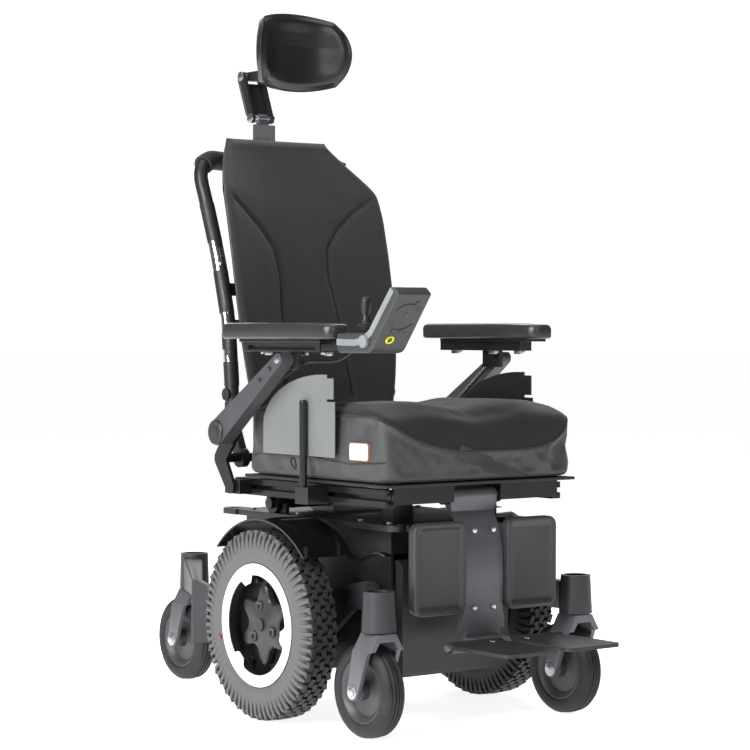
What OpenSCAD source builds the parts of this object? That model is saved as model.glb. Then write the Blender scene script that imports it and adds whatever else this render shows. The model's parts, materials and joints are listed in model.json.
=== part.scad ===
// Mid-wheel-drive power wheelchair with tilt, recline, flip-up arms and a centre legrest.
// X is across the chair, the chair faces -Y, Z is up and the floor is z = 0.
// Every piece is placed from the drive axle's line, and in_frame() moves the whole to the row's origin.
// "right" is the user's right, at -X.

/* [Drive wheels] */
// Outer diameter of the drive tyre
drive_d = 316; // [290:1:340]
// Width of the drive tyre
drive_tyre_w = 60; // [50:1:66]
// Distance between the drive tyres' centres
drive_track = 460; // [450:1:520]
// Diameter of the seat of the drive tyre on its rim
drive_rim_d = 210; // [190:1:220]
// Diameter of the gearmotor's output shaft
drive_shaft_d = 22; // [16:1:26]

/* [Casters] */
// Outer diameter of the caster tyre
caster_d = 152; // [140:1:156]
// Width of the caster tyre
caster_tyre_w = 40; // [32:1:42]
// How far the caster axle trails its swivel
caster_trail = 26; // [20:1:32]
// Diameter of the caster axle
caster_axle_d = 12; // [10:1:14]
// Diameter of the caster stem
caster_stem_d = 18; // [14:1:22]
// Diameter of the caster housing
housing_d = 52; // [46:1:58]
// Distance of the front swivels from the mid-plane
front_swivel_x = 207; // [200:1:230]
// Distance of the front swivels ahead of the drive axle
front_swivel_y = 270; // [266:1:300]
// Distance of the rear swivels from the mid-plane
rear_swivel_x = 100; // [92:1:120]
// Distance of the rear swivels behind the drive axle
rear_swivel_y = 435; // [425:1:470]

/* [Base] */
// Width of the battery box
battery_box_w = 224; // [210:1:230]
// Length of the battery box
battery_box_l = 400; // [380:1:410]
// Wall of the battery box
box_wall = 3; // [2:0.5:5]
// Thickness of the chassis side plates and tray
plate_t = 6; // [4:0.5:8]
// Height of the chassis deck's top face
deck_z = 332; // [326:1:340]
// Thickness of the chassis deck
deck_t = 10; // [8:1:14]
// Diameter of the suspension pivots
pivot_d = 24; // [18:1:28]
// Diameter of the eyes that transport tie-down hooks pass through
tie_hole_d = 24; // [18:1:28]

/* [Seat] */
// Distance between the outer faces of the seat's rails
rail_track = 368; // [350:1:376]
// Width of the cushion
cushion_w = 410; // [380:1:414]
// Height of a seat rail
rail_h = 28; // [24:1:34]
// Width of a seat rail
rail_w = 20; // [16:1:24]
// Height of the rails' underside
rail_z = 364; // [360:1:380]
// Length of the cushion
cushion_l = 408; // [380:1:440]
// Height of the cushion
cushion_h = 129; // [90:1:150]
// Width of the slot in the rails
slot_h = 8; // [6:1:10]

/* [Back and headrest] */
// Thickness of the back cushion
back_t = 26; // [20:1:34]
// Thickness of the back shell
shell_t = 4; // [3:0.5:6]
// Diameter of the back canes
cane_d = 25; // [20:1:27]
// Distance of the back canes from the mid-plane
cane_x = 168; // [166:1:171]
// Width of the headrest's flat bar
head_bar_w = 46; // [36:1:56]
// Thickness of the headrest's flat bar
head_bar_t = 6; // [5:0.5:8]
// Half of the headrest pad's width
head_half_w = 100; // [90:1:120]

/* [Armrests and legrest] */
// Width of an arm pad
pad_w = 66; // [60:1:68]
// Length of an arm pad
pad_l = 312; // [280:1:380]
// Thickness of an arm pad
pad_t = 28; // [22:1:34]
// Height of the arm pads' underside
pad_z = 631; // [625:1:680]
// Distance of the arm pads' centres from the mid-plane
pad_x = 216; // [215:1:219]
// Width of the legrest's column at its waist
column_w = 83; // [60:1:84]
// Width of the legrest's column at its hinge
column_top_w = 95; // [70:1:110]
// Width of one footplate
plate_w = 111; // [80:1:116]
// Length of a footplate
plate_l = 144; // [120:1:160]
// Height of the footplates' top face
foot_z = 150; // [140:1:170]

/* [Hidden] */
$fn = 64;
eps = 0.01;
run_gap = 0.05;           // radial clearance of a shaft that turns in its bore
soft_gap = 0.5;           // clearance between soft pieces and what is beside them

// Wheels
drive_r = drive_d / 2;
drive_x = drive_track / 2;
tyre_in_x = drive_x - drive_tyre_w / 2;
caster_r = caster_d / 2;
leg_in = caster_tyre_w / 2 + 5.5;
leg_t = 8;
leg_out = leg_in + leg_t;
crown_t = 13;
crown_z = caster_d + 4.5;
crown_top = crown_z + crown_t;
housing_z = crown_top + 2;
housing_h = 64;
stem_h = 52;
caster_seat_d = caster_d - 48;

// Suspension pivots, as [y, z]
front_pivot = [-95, 205];
rear_pivot = [188, 150];
side_x = battery_box_w / 2 + 4;
arm_x = side_x + plate_t + 4;
arm_t = 12;
pivot_end = arm_x + arm_t + 6;

// Seat and its tilt and recline pivots, as [y, z]
rail_x = rail_track / 2 - rail_w;
rail_top = rail_z + rail_h;
seat_front = -283;
rail_front = -257;
rail_back = 172;
pan_z = rail_top + 4;
pan_t = 5;
cushion_z = pan_z + pan_t + soft_gap;
cushion_top = cushion_z + cushion_h;
tilt_pivot = [112, 349];
tilt_d = 20;
recline_pivot = [176, 425];
recline_d = 16;
arm_pivot = [138, 472];
arm_tip = [-46, 597];
arm_pin_d = 18;
upright_x = 208;
upright_t = 6;
arm_in = upright_x + upright_t + 6;
swing_t = 26;
skirt_x = cushion_w / 2 + 3;
skirt_t = 3;
leg_pivot = [-243, 376];
leg_pin_d = 14;
foot_pivot = [-334, foot_z - 5];
foot_pin_d = 10;
foot_t = 6;

// Head: pivots as [y, z]
bar_y = 353;
head_low = [363, 1034];
head_high = [394, 1113];
head_pin_d = 9;
head_joint_d = 18;
head_top = 1214;

// Joystick, in line with the right pad
pad_y = -26;
joy_x = -pad_x;
joy_w = 66;
joy_top = 640;
joy_bottom = 609;
stick_y = -248;
stick_z = 647;
boot_r = 15;

// The front and back ends of the whole, which set the row's origin
front_end = foot_pivot[0] - plate_l;
back_end = rear_swivel_y + caster_trail + caster_r;
frame_y = (front_end + back_end) / 2;

// Routes of the leads
lead_route = [[-188, -214.97, 620], [-188, -208, 620], [-188, -190, 619], [-188, -166, 606], [-190, -140, 596],
  [-194, -110, 594], [-199, -85, 594], [-203, -58, 590], [-205, -16, 571], [-213, 18, 548], [-215, 70, 511],
  [-215, 104, 487]];
seat_route = [[-196, 192, 470], [-196, 198, 455], [-196, 200, 430], [-195, 200, 408], [-190, 197, 392],
  [-182, 190, 382], [-176, 182, 378], [-174, 173, 378]];
lead_d = 7;
cable_d = 5;

// ---------- shared shapes ----------

module in_frame() {
  translate([0, -frame_y, 0]) children();
}

// Left is +X, and right is its mirror image
module on_side(side) {
  if (side == "left") children();
  else mirror([1, 0, 0]) children();
}

// A flat outline drawn in Y and Z, given a thickness along +X from x
module across(x, t) {
  translate([x, 0, 0]) rotate([90, 0, 90]) linear_extrude(t) children();
}

// A flat outline drawn in X and Z, given a thickness along +Y from y
module along(y, t) {
  translate([0, y + t, 0]) rotate([90, 0, 0]) linear_extrude(t) children();
}

module rod_x(r, x0, x1, at) {
  translate([x0, at[0], at[1]]) rotate([0, 90, 0]) cylinder(r = r, h = x1 - x0);
}

module box_at(low, high) {
  translate(low) cube(high - low);
}

// Two circles joined by their outer tangents
module tapered_bar(p1, r1, p2, r2) {
  gap = norm(p2 - p1);
  lean = atan2(p2[1] - p1[1], p2[0] - p1[0]);
  open = acos((r1 - r2) / gap);
  function touch(p, r, a) = p + r * [cos(a), sin(a)];
  translate(p1) circle(r1);
  translate(p2) circle(r2);
  polygon([touch(p1, r1, lean + open), touch(p1, r1, lean - open),
    touch(p2, r2, lean - open), touch(p2, r2, lean + open)]);
}

module rounded_rect(size, r) {
  square([size[0], size[1] - 2 * r], center = true);
  square([size[0] - 2 * r, size[1]], center = true);
  for (x = [-1, 1])
    for (y = [-1, 1])
      translate([x * (size[0] / 2 - r), y * (size[1] / 2 - r)]) circle(r);
}

// A smooth curve through a list of points
function curve_at(a, b, c, d, t) =
  0.5 * (2 * b + (c - a) * t + (2 * a - 5 * b + 4 * c - d) * t * t + (3 * b - a - 3 * c + d) * t * t * t);
function smooth(p, n) = [
  for (i = [0 : len(p) - 2])
    for (k = [0 : (i == len(p) - 2 ? n : n - 1)])
      curve_at(p[max(i - 1, 0)], p[i], p[i + 1], p[min(i + 2, len(p) - 1)], k / n)];
function unit(v) = v / norm(v);

// A round tube swept along points; up is any direction that the route never runs along
module swept(points, r, sides, up) {
  last = len(points) - 1;
  rings = [
    for (i = [0 : last])
      let (way = unit(points[min(i + 1, last)] - points[max(i - 1, 0)]),
        u = unit(cross(up, way)), v = cross(way, u))
        for (k = [0 : sides - 1])
          points[i] + r * (cos(360 * k / sides) * u + sin(360 * k / sides) * v)];
  walls = [
    for (i = [0 : last - 1])
      for (k = [0 : sides - 1])
        let (a = i * sides + k, b = i * sides + (k + 1) % sides)
          [a, a + sides, b + sides, b]];
  polyhedron(rings, concat(walls, [[for (k = [0 : sides - 1]) k],
    [for (k = [sides - 1 : -1 : 0]) last * sides + k]]), convexity = 8);
}

// A pad that wraps forward at its sides. A level is [z, y at the middle, y at the sides, half width]
module wrapped_pad(levels, gap, t, steps, power) {
  row = 2 * steps + 1;
  front = [
    for (l = levels)
      for (k = [-steps : steps])
        [l[3] * k / steps, l[1] - (l[1] - l[2]) * pow(abs(k / steps), power) + gap, l[0]]];
  back = [for (p = front) p + [0, t, 0]];
  rows = len(levels);
  count = rows * row;
  sheet = [
    for (j = [0 : rows - 2])
      for (k = [0 : row - 2])
        let (a = j * row + k) each [[a, a + row, a + 1], [a + 1, a + row, a + row + 1]]];
  back_sheet = [for (f = sheet) [f[2] + count, f[1] + count, f[0] + count]];
  sides = [
    for (j = [0 : rows - 2])
      let (a = j * row, b = a + row - 1)
        each [[a, a + count, a + row], [a + row, a + count, a + row + count],
          [b, b + row, b + count], [b + row, b + row + count, b + count]]];
  ends = [
    for (k = [0 : row - 2])
      let (c = (rows - 1) * row + k)
        each [[k, k + 1, k + count], [k + 1, k + 1 + count, k + count],
          [c, c + count, c + 1], [c + 1, c + count, c + 1 + count]]];
  polyhedron(concat(front, back), concat(sheet, back_sheet, sides, ends), convexity = 6);
}

// ---------- base ----------

box_front = -battery_box_l / 2 - 8;
box_back = battery_box_l / 2 - 8;
box_z = 86;
box_top = 272;
tray_z = box_z - plate_t - 0.5;
side_front = box_front + 18;
side_back = box_back + 38;
tower_in = rail_x - 34;
tower_t = 8;

module side_plate() {
  polygon([[side_front, tray_z], [box_back, tray_z], [side_back, 120], [side_back, deck_z - deck_t],
    [side_front, deck_z - deck_t], [side_front, 150]]);
}

module tie_down_eye(y) {
  translate([battery_box_w / 2 + 18, y, deck_z - deck_t])
    linear_extrude(deck_t) difference() {
      union() {
        circle(tie_hole_d / 2 + 9);
        translate([-tie_hole_d / 2 - 9, y > 0 ? -34 : 0]) square([tie_hole_d + 18, 34]);
      }
      circle(tie_hole_d / 2);
    }
}

module chassis_half() {
  difference() {
    across(side_x, plate_t) side_plate();
    rod_x(pivot_d / 2 - 4, side_x - 1, side_x + plate_t + 1, front_pivot);
    rod_x(pivot_d / 2 - 4, side_x - 1, side_x + plate_t + 1, rear_pivot);
  }
  for (p = [front_pivot, rear_pivot]) {
    rod_x(pivot_d / 2, side_x + plate_t - eps, pivot_end, p);
    rod_x(pivot_d / 2 + 6, side_x + plate_t - eps, arm_x - 0.5, p);
    rod_x(pivot_d / 2 - 4, side_x, side_x + plate_t, p);
  }
  box_at([0, side_front, deck_z - deck_t], [battery_box_w / 2 + 36, side_back, deck_z]);
  box_at([0, side_front, tray_z], [side_x + eps, box_back, tray_z + plate_t]);
  tie_down_eye(side_back + 24);
  tie_down_eye(side_front - 24);
  // Towers of the tilt pivot, and the rest that the seat lies on at the front
  across(tower_in, tower_t) {
    translate(tilt_pivot) circle(tilt_d / 2 + 6);
    translate([tilt_pivot[0] - 26, deck_z - eps]) square([52, tilt_pivot[1] - deck_z]);
  }
  box_at([battery_box_w / 2, tilt_pivot[0] - 26, deck_z - deck_t], [tower_in + tower_t, tilt_pivot[0] + 26, deck_z]);
  box_at([70, side_front + 10, deck_z - eps], [110, side_front + 40, rail_z - 0.5]);
}

module chassis_frame() {
  in_frame() color("#1b1c1e") {
    chassis_half();
    mirror([1, 0, 0]) chassis_half();
    rod_x(tilt_d / 2, -tower_in - tower_t - 18, tower_in + tower_t + 18, tilt_pivot);
    // Cross members between the side plates
    box_at([-side_x - eps, side_front, deck_z - deck_t - 40], [side_x + eps, side_front + 8, deck_z - deck_t + eps]);
    box_at([-side_x - eps, side_back - 8, 150], [side_x + eps, side_back, deck_z - deck_t + eps]);
  }
}

module battery_box() {
  half = battery_box_w / 2;
  in_frame() color("#26272a") difference() {
    across(-half, battery_box_w) polygon([[box_front, box_z], [box_back, box_z], [box_back, box_top - 20],
      [box_back - 20, box_top], [box_front + 12, box_top], [box_front, box_top - 12]]);
    for (y = [box_front + box_wall, box_wall - 8])
      box_at([-half + box_wall, y, box_z + box_wall],
        [half - box_wall, y + battery_box_l / 2 - 2 * box_wall, box_top - 24]);
  }
}

module batteries() {
  half = battery_box_w / 2 - box_wall - 2;
  in_frame() color("#4a4d52")
    for (y = [box_front + box_wall + 2, box_wall - 6])
      box_at([-half, y, box_z + box_wall], [half, y + battery_box_l / 2 - 2 * box_wall - 4, box_top - 30]);
}

module power_module() {
  in_frame() color("#303236") {
    box_at([-80, -150, box_top], [80, 30, box_top + 34]);
    for (x = [-60 : 20 : 60])
      box_at([x - 3, -146, box_top + 34 - eps], [x + 3, 26, box_top + 42]);
  }
}

// A curved cover over each drive wheel, which runs on in a wave towards the front caster
fender_gap = 15;
fender_t = 3;
fender_in = battery_box_w / 2 + 41;
fender_out = drive_x + 22;
wave_end = -232;

module fender_profile() {
  r = drive_r + fender_gap;
  difference() {
    translate([0, drive_r]) circle(r + fender_t, $fn = 128);
    translate([0, drive_r]) circle(r, $fn = 128);
    translate([-400, -400]) square([800, drive_r + 400 + r * sin(44)]);
    rotate(0) translate([r * cos(36), -400]) square([400, 900]);
  }
}

module fender_wave() {
  r = drive_r + fender_gap + fender_t / 2;
  start = [-r * cos(44), drive_r + r * sin(44)];
  line = smooth([start + [3, 3], start, start + [-24, -8], start + [-54, 1], start + [-84, 9],
    [wave_end, start[1] + 6]], 6);
  polygon(concat([for (p = line) p + [0, fender_t / 2]],
    [for (i = [len(line) - 1 : -1 : 0]) line[i] - [0, fender_t / 2]]));
}

module fender() {
  across(fender_in, fender_out - fender_in) fender_profile();
  across(fender_in, front_swivel_x - 40 - fender_in) fender_wave();
  // Foot that stands on the deck's edge
  box_at([battery_box_w / 2 + 37, -12, deck_z - deck_t + 1], [fender_in + eps, 12, deck_z + 1]);
}

module fenders() {
  in_frame() color("#101113") {
    fender();
    mirror([1, 0, 0]) fender();
  }
}

// ---------- drive units ----------

gearbox_x = arm_x + arm_t;
gearbox_end = tyre_in_x - 3;
motor_r = (gearbox_end - gearbox_x) / 2 + 1;
motor_x = (gearbox_x + gearbox_end) / 2;
motor_l = 108;

module drive_arm(side) {
  pocket = housing_z + 6;
  in_frame() on_side(side) color("#202124") difference() {
    union() {
      across(arm_x, arm_t) {
        tapered_bar(front_pivot, pivot_d / 2 + 10, [0, drive_r], 44);
        tapered_bar(front_pivot, pivot_d / 2 + 10, [-150, 214], 22);
      }
      hull() {
        across(arm_x, arm_t) translate([-150, 214]) circle(20, $fn = 32);
        translate([front_swivel_x - 12, -front_swivel_y + 26, housing_z + 30]) cube([22, 20, 46], center = true);
      }
      translate([front_swivel_x, -front_swivel_y, housing_z])
        cylinder(r1 = housing_d / 2 + 2, r2 = housing_d / 2 - 1, h = housing_h);
    }
    rod_x(pivot_d / 2 + run_gap, arm_x - 1, arm_x + arm_t + 1, front_pivot);
    translate([front_swivel_x, -front_swivel_y, housing_z - 1])
      cylinder(r = caster_stem_d / 2 + run_gap, h = stem_h + 4);
    translate([front_swivel_x, -front_swivel_y, housing_z + housing_h - 3])
      cylinder(r = housing_d / 2 - 8, h = 4);
  }
}
module drive_arm_right() { drive_arm("right"); }
module drive_arm_left() { drive_arm("left"); }

module gearmotor(side) {
  in_frame() on_side(side) color("#2c2e31") {
    across(gearbox_x, gearbox_end - gearbox_x) translate([0, drive_r]) rounded_rect([92, 92], 14);
    translate([motor_x, 46 - eps, drive_r]) rotate([-90, 0, 0]) {
      cylinder(r = motor_r, h = motor_l);
      translate([0, 0, motor_l - eps]) cylinder(r = motor_r - 8, h = 12);
    }
    rod_x(drive_shaft_d / 2, gearbox_end - eps, drive_x + 22, [0, drive_r]);
  }
}
module gearmotor_right() { gearmotor("right"); }
module gearmotor_left() { gearmotor("left"); }

module drive_rim(side) {
  seat = drive_rim_d / 2;
  half = drive_tyre_w / 2 - 6;
  bore = drive_shaft_d / 2 + run_gap;
  in_frame() on_side(side) color("#17181a") translate([drive_x, 0, drive_r]) rotate([0, 90, 0]) {
    rotate_extrude() {
      polygon([[seat - 9, -half], [seat, -half], [seat, half + 4], [seat - 24, half + 4], [seat - 24, half],
        [seat - 9, half - 2]]);
      polygon([[bore, -half + 4], [34, -half + 4], [34, 2], [40, 2], [40, 12], [bore, 12]]);
    }
    difference() {
      translate([0, 0, 4]) cylinder(r = seat - 8, h = 6);
      translate([0, 0, 3]) cylinder(r = 36, h = 8);
      for (a = [0 : 60 : 300])
        rotate(a) translate([64, 0, 3]) cylinder(r = 15, h = 8);
    }
    // Cap over the hub, and the bolts round it
    difference() {
      translate([0, 0, 12 - eps]) cylinder(r = 52, h = 12);
      translate([0, 0, 10]) cylinder(r = bore, h = 12.5);
    }
    for (a = [30 : 120 : 270])
      rotate(a) translate([30, 0, 24 - eps]) cylinder(r = 6, h = 3);
    for (a = [90 : 120 : 330])
      rotate(a) translate([76, 0, 10 - eps]) cylinder(r = 6, h = 8);
  }
}
module drive_rim_right() { drive_rim("right"); }
module drive_rim_left() { drive_rim("left"); }

module drive_tyre(side) {
  seat = drive_rim_d / 2;
  half = drive_tyre_w / 2;
  in_frame() on_side(side) color("#2a2b2d") translate([drive_x, 0, drive_r]) rotate([0, 90, 0])
    rotate_extrude($fn = 96) polygon([[seat, -half + 4], [seat + 8, -half + 1], [seat + 24, -half],
      [drive_r - 14, -half + 1], [drive_r - 5, -half + 8], [drive_r, -half + 20], [drive_r, half - 20],
      [drive_r - 5, half - 8], [drive_r - 14, half - 1], [seat + 24, half], [seat + 8, half - 1], [seat, half - 2]]);
}
module drive_tyre_right() { drive_tyre("right"); }
module drive_tyre_left() { drive_tyre("left"); }

// ---------- casters ----------

// A fork whose swivel axis is x = y = 0 and whose axle trails towards +Y
module fork() {
  axle = [caster_trail, caster_r];
  intersection() {
    across(-leg_out - 1, 2 * leg_out + 2) {
      tapered_bar(axle, 14, [2, crown_z], 20);
      translate([-22, crown_z - 14]) square([46, crown_t + 14]);
    }
    along(-60, 160) difference() {
      polygon([[-leg_out, caster_r - 20], [-leg_out, crown_z - 14], [-18, crown_top], [18, crown_top],
        [leg_out, crown_z - 14], [leg_out, caster_r - 20]]);
      polygon([[-leg_in, caster_r - 21], [-leg_in, crown_z - 18], [-14, crown_z], [14, crown_z],
        [leg_in, crown_z - 18], [leg_in, caster_r - 21]]);
    }
  }
  rod_x(caster_axle_d / 2, -leg_out - 2, leg_out + 2, axle);
  translate([0, 0, crown_top - eps]) cylinder(r = caster_stem_d / 2, h = stem_h);
}

module caster_rim() {
  seat = caster_seat_d / 2;
  half = caster_tyre_w / 2 - 3;
  translate([0, caster_trail, caster_r]) rotate([0, 90, 0]) {
    rotate_extrude() polygon([[caster_axle_d / 2 + run_gap, -leg_in + 1.5], [14, -leg_in + 1.5], [14, -5],
      [seat - 7, -5], [seat - 7, -half], [seat, -half], [seat, half], [seat - 7, half], [seat - 7, 5], [14, 5],
      [14, leg_in - 1.5], [caster_axle_d / 2 + run_gap, leg_in - 1.5]]);
  }
}

module caster_tyre() {
  seat = caster_seat_d / 2;
  half = caster_tyre_w / 2;
  translate([0, caster_trail, caster_r]) rotate([0, 90, 0]) rotate_extrude($fn = 96) difference() {
    polygon([[seat, -half + 3], [seat + 7, -half], [caster_r - 10, -half + 1], [caster_r - 3, -half + 7],
      [caster_r, -half + 15], [caster_r, half - 15], [caster_r - 3, half - 7], [caster_r - 10, half - 1],
      [seat + 7, half], [seat, half - 3]]);
    for (x = [-9 : 6 : 9])
      translate([caster_r - 2.5, x - 0.8]) square([4, 1.6]);
  }
}

module at_swivel(side, x, y) {
  in_frame() on_side(side) translate([x, y, 0]) children();
}

module front_fork_right() { color("#6d7074") at_swivel("right", front_swivel_x, -front_swivel_y) fork(); }
module front_fork_left() { color("#6d7074") at_swivel("left", front_swivel_x, -front_swivel_y) fork(); }
module rear_fork_right() { color("#6d7074") at_swivel("right", rear_swivel_x, rear_swivel_y) fork(); }
module rear_fork_left() { color("#6d7074") at_swivel("left", rear_swivel_x, rear_swivel_y) fork(); }
module front_caster_rim_right() { color("#55585c") at_swivel("right", front_swivel_x, -front_swivel_y) caster_rim(); }
module front_caster_rim_left() { color("#55585c") at_swivel("left", front_swivel_x, -front_swivel_y) caster_rim(); }
module rear_caster_rim_right() { color("#55585c") at_swivel("right", rear_swivel_x, rear_swivel_y) caster_rim(); }
module rear_caster_rim_left() { color("#55585c") at_swivel("left", rear_swivel_x, rear_swivel_y) caster_rim(); }
module front_caster_tyre_right() { color("#2b2c2e") at_swivel("right", front_swivel_x, -front_swivel_y) caster_tyre(); }
module front_caster_tyre_left() { color("#2b2c2e") at_swivel("left", front_swivel_x, -front_swivel_y) caster_tyre(); }
module rear_caster_tyre_right() { color("#2b2c2e") at_swivel("right", rear_swivel_x, rear_swivel_y) caster_tyre(); }
module rear_caster_tyre_left() { color("#2b2c2e") at_swivel("left", rear_swivel_x, rear_swivel_y) caster_tyre(); }

// The arm steps out round the circle that its caster swings through, then drops to the pivot
module rear_arm(side) {
  out_x = rear_swivel_x + 62;
  out_y = rear_swivel_y - 104;
  in_frame() on_side(side) color("#3a3c3f") difference() {
    union() {
      translate([rear_swivel_x, rear_swivel_y, housing_z])
        cylinder(r1 = housing_d / 2 + 1, r2 = housing_d / 2 - 1, h = housing_h);
      hull() {
        translate([rear_swivel_x + 6, rear_swivel_y - 4, housing_z]) cylinder(r = 18, h = 58, $fn = 32);
        translate([out_x, out_y, housing_z]) cylinder(r = 9, h = 28, $fn = 32);
      }
      hull() {
        translate([out_x, out_y, housing_z - 84]) cylinder(r = 9, h = 112, $fn = 32);
        translate([arm_x + arm_t / 2 + 6, 262, 92]) cylinder(r = 9, h = 76, $fn = 32);
      }
      hull() {
        translate([arm_x + arm_t / 2 + 6, 262, 92]) cylinder(r = 9, h = 76, $fn = 32);
        across(arm_x, arm_t) translate(rear_pivot) circle(pivot_d / 2 + 10, $fn = 32);
      }
    }
    rod_x(pivot_d / 2 + run_gap, arm_x - 20, arm_x + arm_t + 20, rear_pivot);
    translate([rear_swivel_x, rear_swivel_y, housing_z - 1])
      cylinder(r = caster_stem_d / 2 + run_gap, h = stem_h + 4);
    translate([rear_swivel_x, rear_swivel_y, housing_z + housing_h - 3])
      cylinder(r = housing_d / 2 - 8, h = 4);
  }
}
module rear_arm_right() { rear_arm("right"); }
module rear_arm_left() { rear_arm("left"); }

// ---------- seat ----------

tilt_drive_half = 62;
tilt_drive_r = 15;

// A sleeve gearmotor round the tilt pivot
module tilt_drive() {
  in_frame() color("#5a5d61") difference() {
    union() {
      rod_x(tilt_drive_r, -tilt_drive_half, tilt_drive_half, tilt_pivot);
      box_at([-tilt_drive_half, tilt_pivot[0] - 60, deck_z], [tilt_drive_half, tilt_pivot[0], deck_z + 22]);
    }
    rod_x(tilt_d / 2, -tilt_drive_half - 1, tilt_drive_half + 1, tilt_pivot);
  }
}

module rail_profile() {
  difference() {
    square([rail_w, rail_h]);
    translate([rail_w - 7, (rail_h - slot_h) / 2]) square([8, slot_h]);
    translate([rail_w - 11, (rail_h - slot_h) / 2 - 4]) square([6, slot_h + 8]);
    translate([6, 6]) square([rail_w - 18 > 0 ? rail_w - 18 : 1, rail_h - 12]);
  }
}

lug_in = tower_in + tower_t + 2;
lug_t = 8;
boss_in = column_top_w / 2 + 1.5;
leg_boss_r = leg_pin_d / 2 + 6;

module seat_half() {
  translate([rail_x, 0, rail_z]) along(rail_front, rail_back - rail_front) rail_profile();
  // Lug of the tilt pivot, hung from its cross plate
  difference() {
    across(lug_in, lug_t) {
      translate(tilt_pivot) circle(tilt_d / 2 + 7);
      translate([tilt_pivot[0] - 17, tilt_pivot[1]]) square([34, rail_z + 6 - tilt_pivot[1]]);
    }
    rod_x(tilt_d / 2 + run_gap, lug_in - 1, lug_in + lug_t + 1, tilt_pivot);
  }
  box_at([lug_in, tilt_pivot[0] - 17, rail_z + 5], [rail_x + eps, tilt_pivot[0] + 17, rail_z + 11]);
  // Upright that carries the armrest's pivot and the back's hinge
  box_at([rail_x + rail_w - eps, 122, rail_z + 2], [upright_x + eps, 168, rail_top - 2]);
  across(upright_x, upright_t) {
    tapered_bar([145, rail_z + 14], 12, recline_pivot, 16);
    tapered_bar(recline_pivot, 16, arm_pivot, 17);
  }
  rod_x(arm_pin_d / 2, upright_x + upright_t - eps, arm_in + swing_t - 6, arm_pivot);
  rod_x(arm_pin_d / 2 + 4, upright_x + upright_t - eps, arm_in - 0.5, arm_pivot);
  // Front plate, and the boss that holds an end of the legrest's pin
  box_at([boss_in, rail_front - plate_t, rail_z + 4], [rail_x + 8, rail_front + eps, pan_z]);
  across(boss_in, 10) {
    translate(leg_pivot) circle(leg_boss_r);
    translate([rail_front - eps, leg_pivot[1] - 8]) square([leg_pivot[0] - rail_front, 16]);
  }
}

module seat_frame() {
  in_frame() color("#1e1f21") {
    seat_half();
    mirror([1, 0, 0]) seat_half();
    box_at([-rail_x - eps, rail_front + 36, rail_z + 4], [rail_x + eps, rail_front + 50, rail_top - 4]);
    box_at([-rail_x - eps, rail_back - 26, rail_z], [rail_x + eps, rail_back - 6, rail_top]);
    rod_x(leg_pin_d / 2, -boss_in - eps, boss_in + eps, leg_pivot);
    rod_x(recline_d / 2, -upright_x - eps, upright_x + eps, recline_pivot);
  }
}

module seat_pan() {
  half = cushion_w / 2 - 6;
  in_frame() color("#141517") {
    box_at([-half, seat_front + 6, pan_z], [half, 120, pan_z + pan_t]);
    for (x = [-rail_x - rail_w + 4, rail_x + 4])
      for (y = [rail_front + 20, -90, 90])
        box_at([x, y - 10, rail_top], [x + rail_w - 8, y + 10, pan_z + eps]);
  }
}

module seat_cushion() {
  in_frame() color("#232326") intersection() {
    across(-cushion_w / 2, cushion_w) polygon([[seat_front, cushion_z], [seat_front, cushion_top - 22],
      [seat_front + 14, cushion_top - 6], [seat_front + 50, cushion_top], [-60, cushion_top - 2],
      [60, cushion_top - 14], [seat_front + cushion_l, cushion_top - 24], [seat_front + cushion_l, cushion_z]]);
    translate([0, seat_front + cushion_l / 2, cushion_z - 1]) linear_extrude(cushion_h + 2)
      rounded_rect([cushion_w, cushion_l], 28);
  }
}

// Each guard is a quarter-round panel with a step at its front top
skirt_low = 440;
skirt_h = 134;
skirt_front = -157;
skirt_l = 204;
skirt_corner = 48;

module skirt_guard() {
  across(skirt_x, skirt_t) polygon(concat(
    [[skirt_front, skirt_low], [skirt_front, skirt_low + 90], [skirt_front + 22, skirt_low + 90],
      [skirt_front + 22, skirt_low + skirt_h]],
    [for (a = [84 : -6 : 6])
      [skirt_front + 30 + (skirt_l - 30) * cos(a), skirt_low + skirt_corner + (skirt_h - skirt_corner) * sin(a)]],
    [[skirt_front + skirt_l, skirt_low + skirt_corner], [skirt_front + skirt_l, skirt_low]]));
  // Bracket in the step, which the armrest's side strap hangs on
  box_at([skirt_x, skirt_front + 4, skirt_low + 94], [skirt_x + skirt_t, skirt_front + 22 + eps, skirt_low + 128]);
}

module skirt_guards() {
  in_frame() color("#a9acaf") {
    skirt_guard();
    mirror([1, 0, 0]) skirt_guard();
  }
}

post_y = skirt_front + 78;
post_r = 6.5;

module guard_post() {
  post_x = skirt_x + skirt_t + post_r;
  translate([post_x, post_y, rail_z + 4]) cylinder(r = post_r, h = 160);
  translate([post_x, post_y, rail_z + 164 - eps]) cylinder(r1 = post_r, r2 = post_r - 2, h = 4);
  // Clamp on the rail's slotted face
  difference() {
    box_at([rail_track / 2, post_y - 24, rail_z - 2], [post_x + 8, post_y + 24, rail_top - 2]);
    translate([post_x, post_y, rail_z - 3]) cylinder(r = post_r, h = rail_h + 10);
    box_at([post_x - 2, post_y + 12, rail_z - 3], [post_x + 9, post_y + 25, rail_top + 5]);
  }
}

module guard_posts() {
  in_frame() color("#131416") {
    guard_post();
    mirror([1, 0, 0]) guard_post();
  }
}

module recline_drive() {
  in_frame() color("#5a5d61") difference() {
    union() {
      rod_x(20, -70, 70, recline_pivot);
      rod_x(25, -24, 24, recline_pivot);
    }
    rod_x(recline_d / 2, -71, 71, recline_pivot);
  }
}

module seat_cable() {
  in_frame() color("#0d0d0e") swept(smooth(seat_route, 3), cable_d / 2, 8, [1, 0, 0]);
}

// ---------- back ----------

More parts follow.
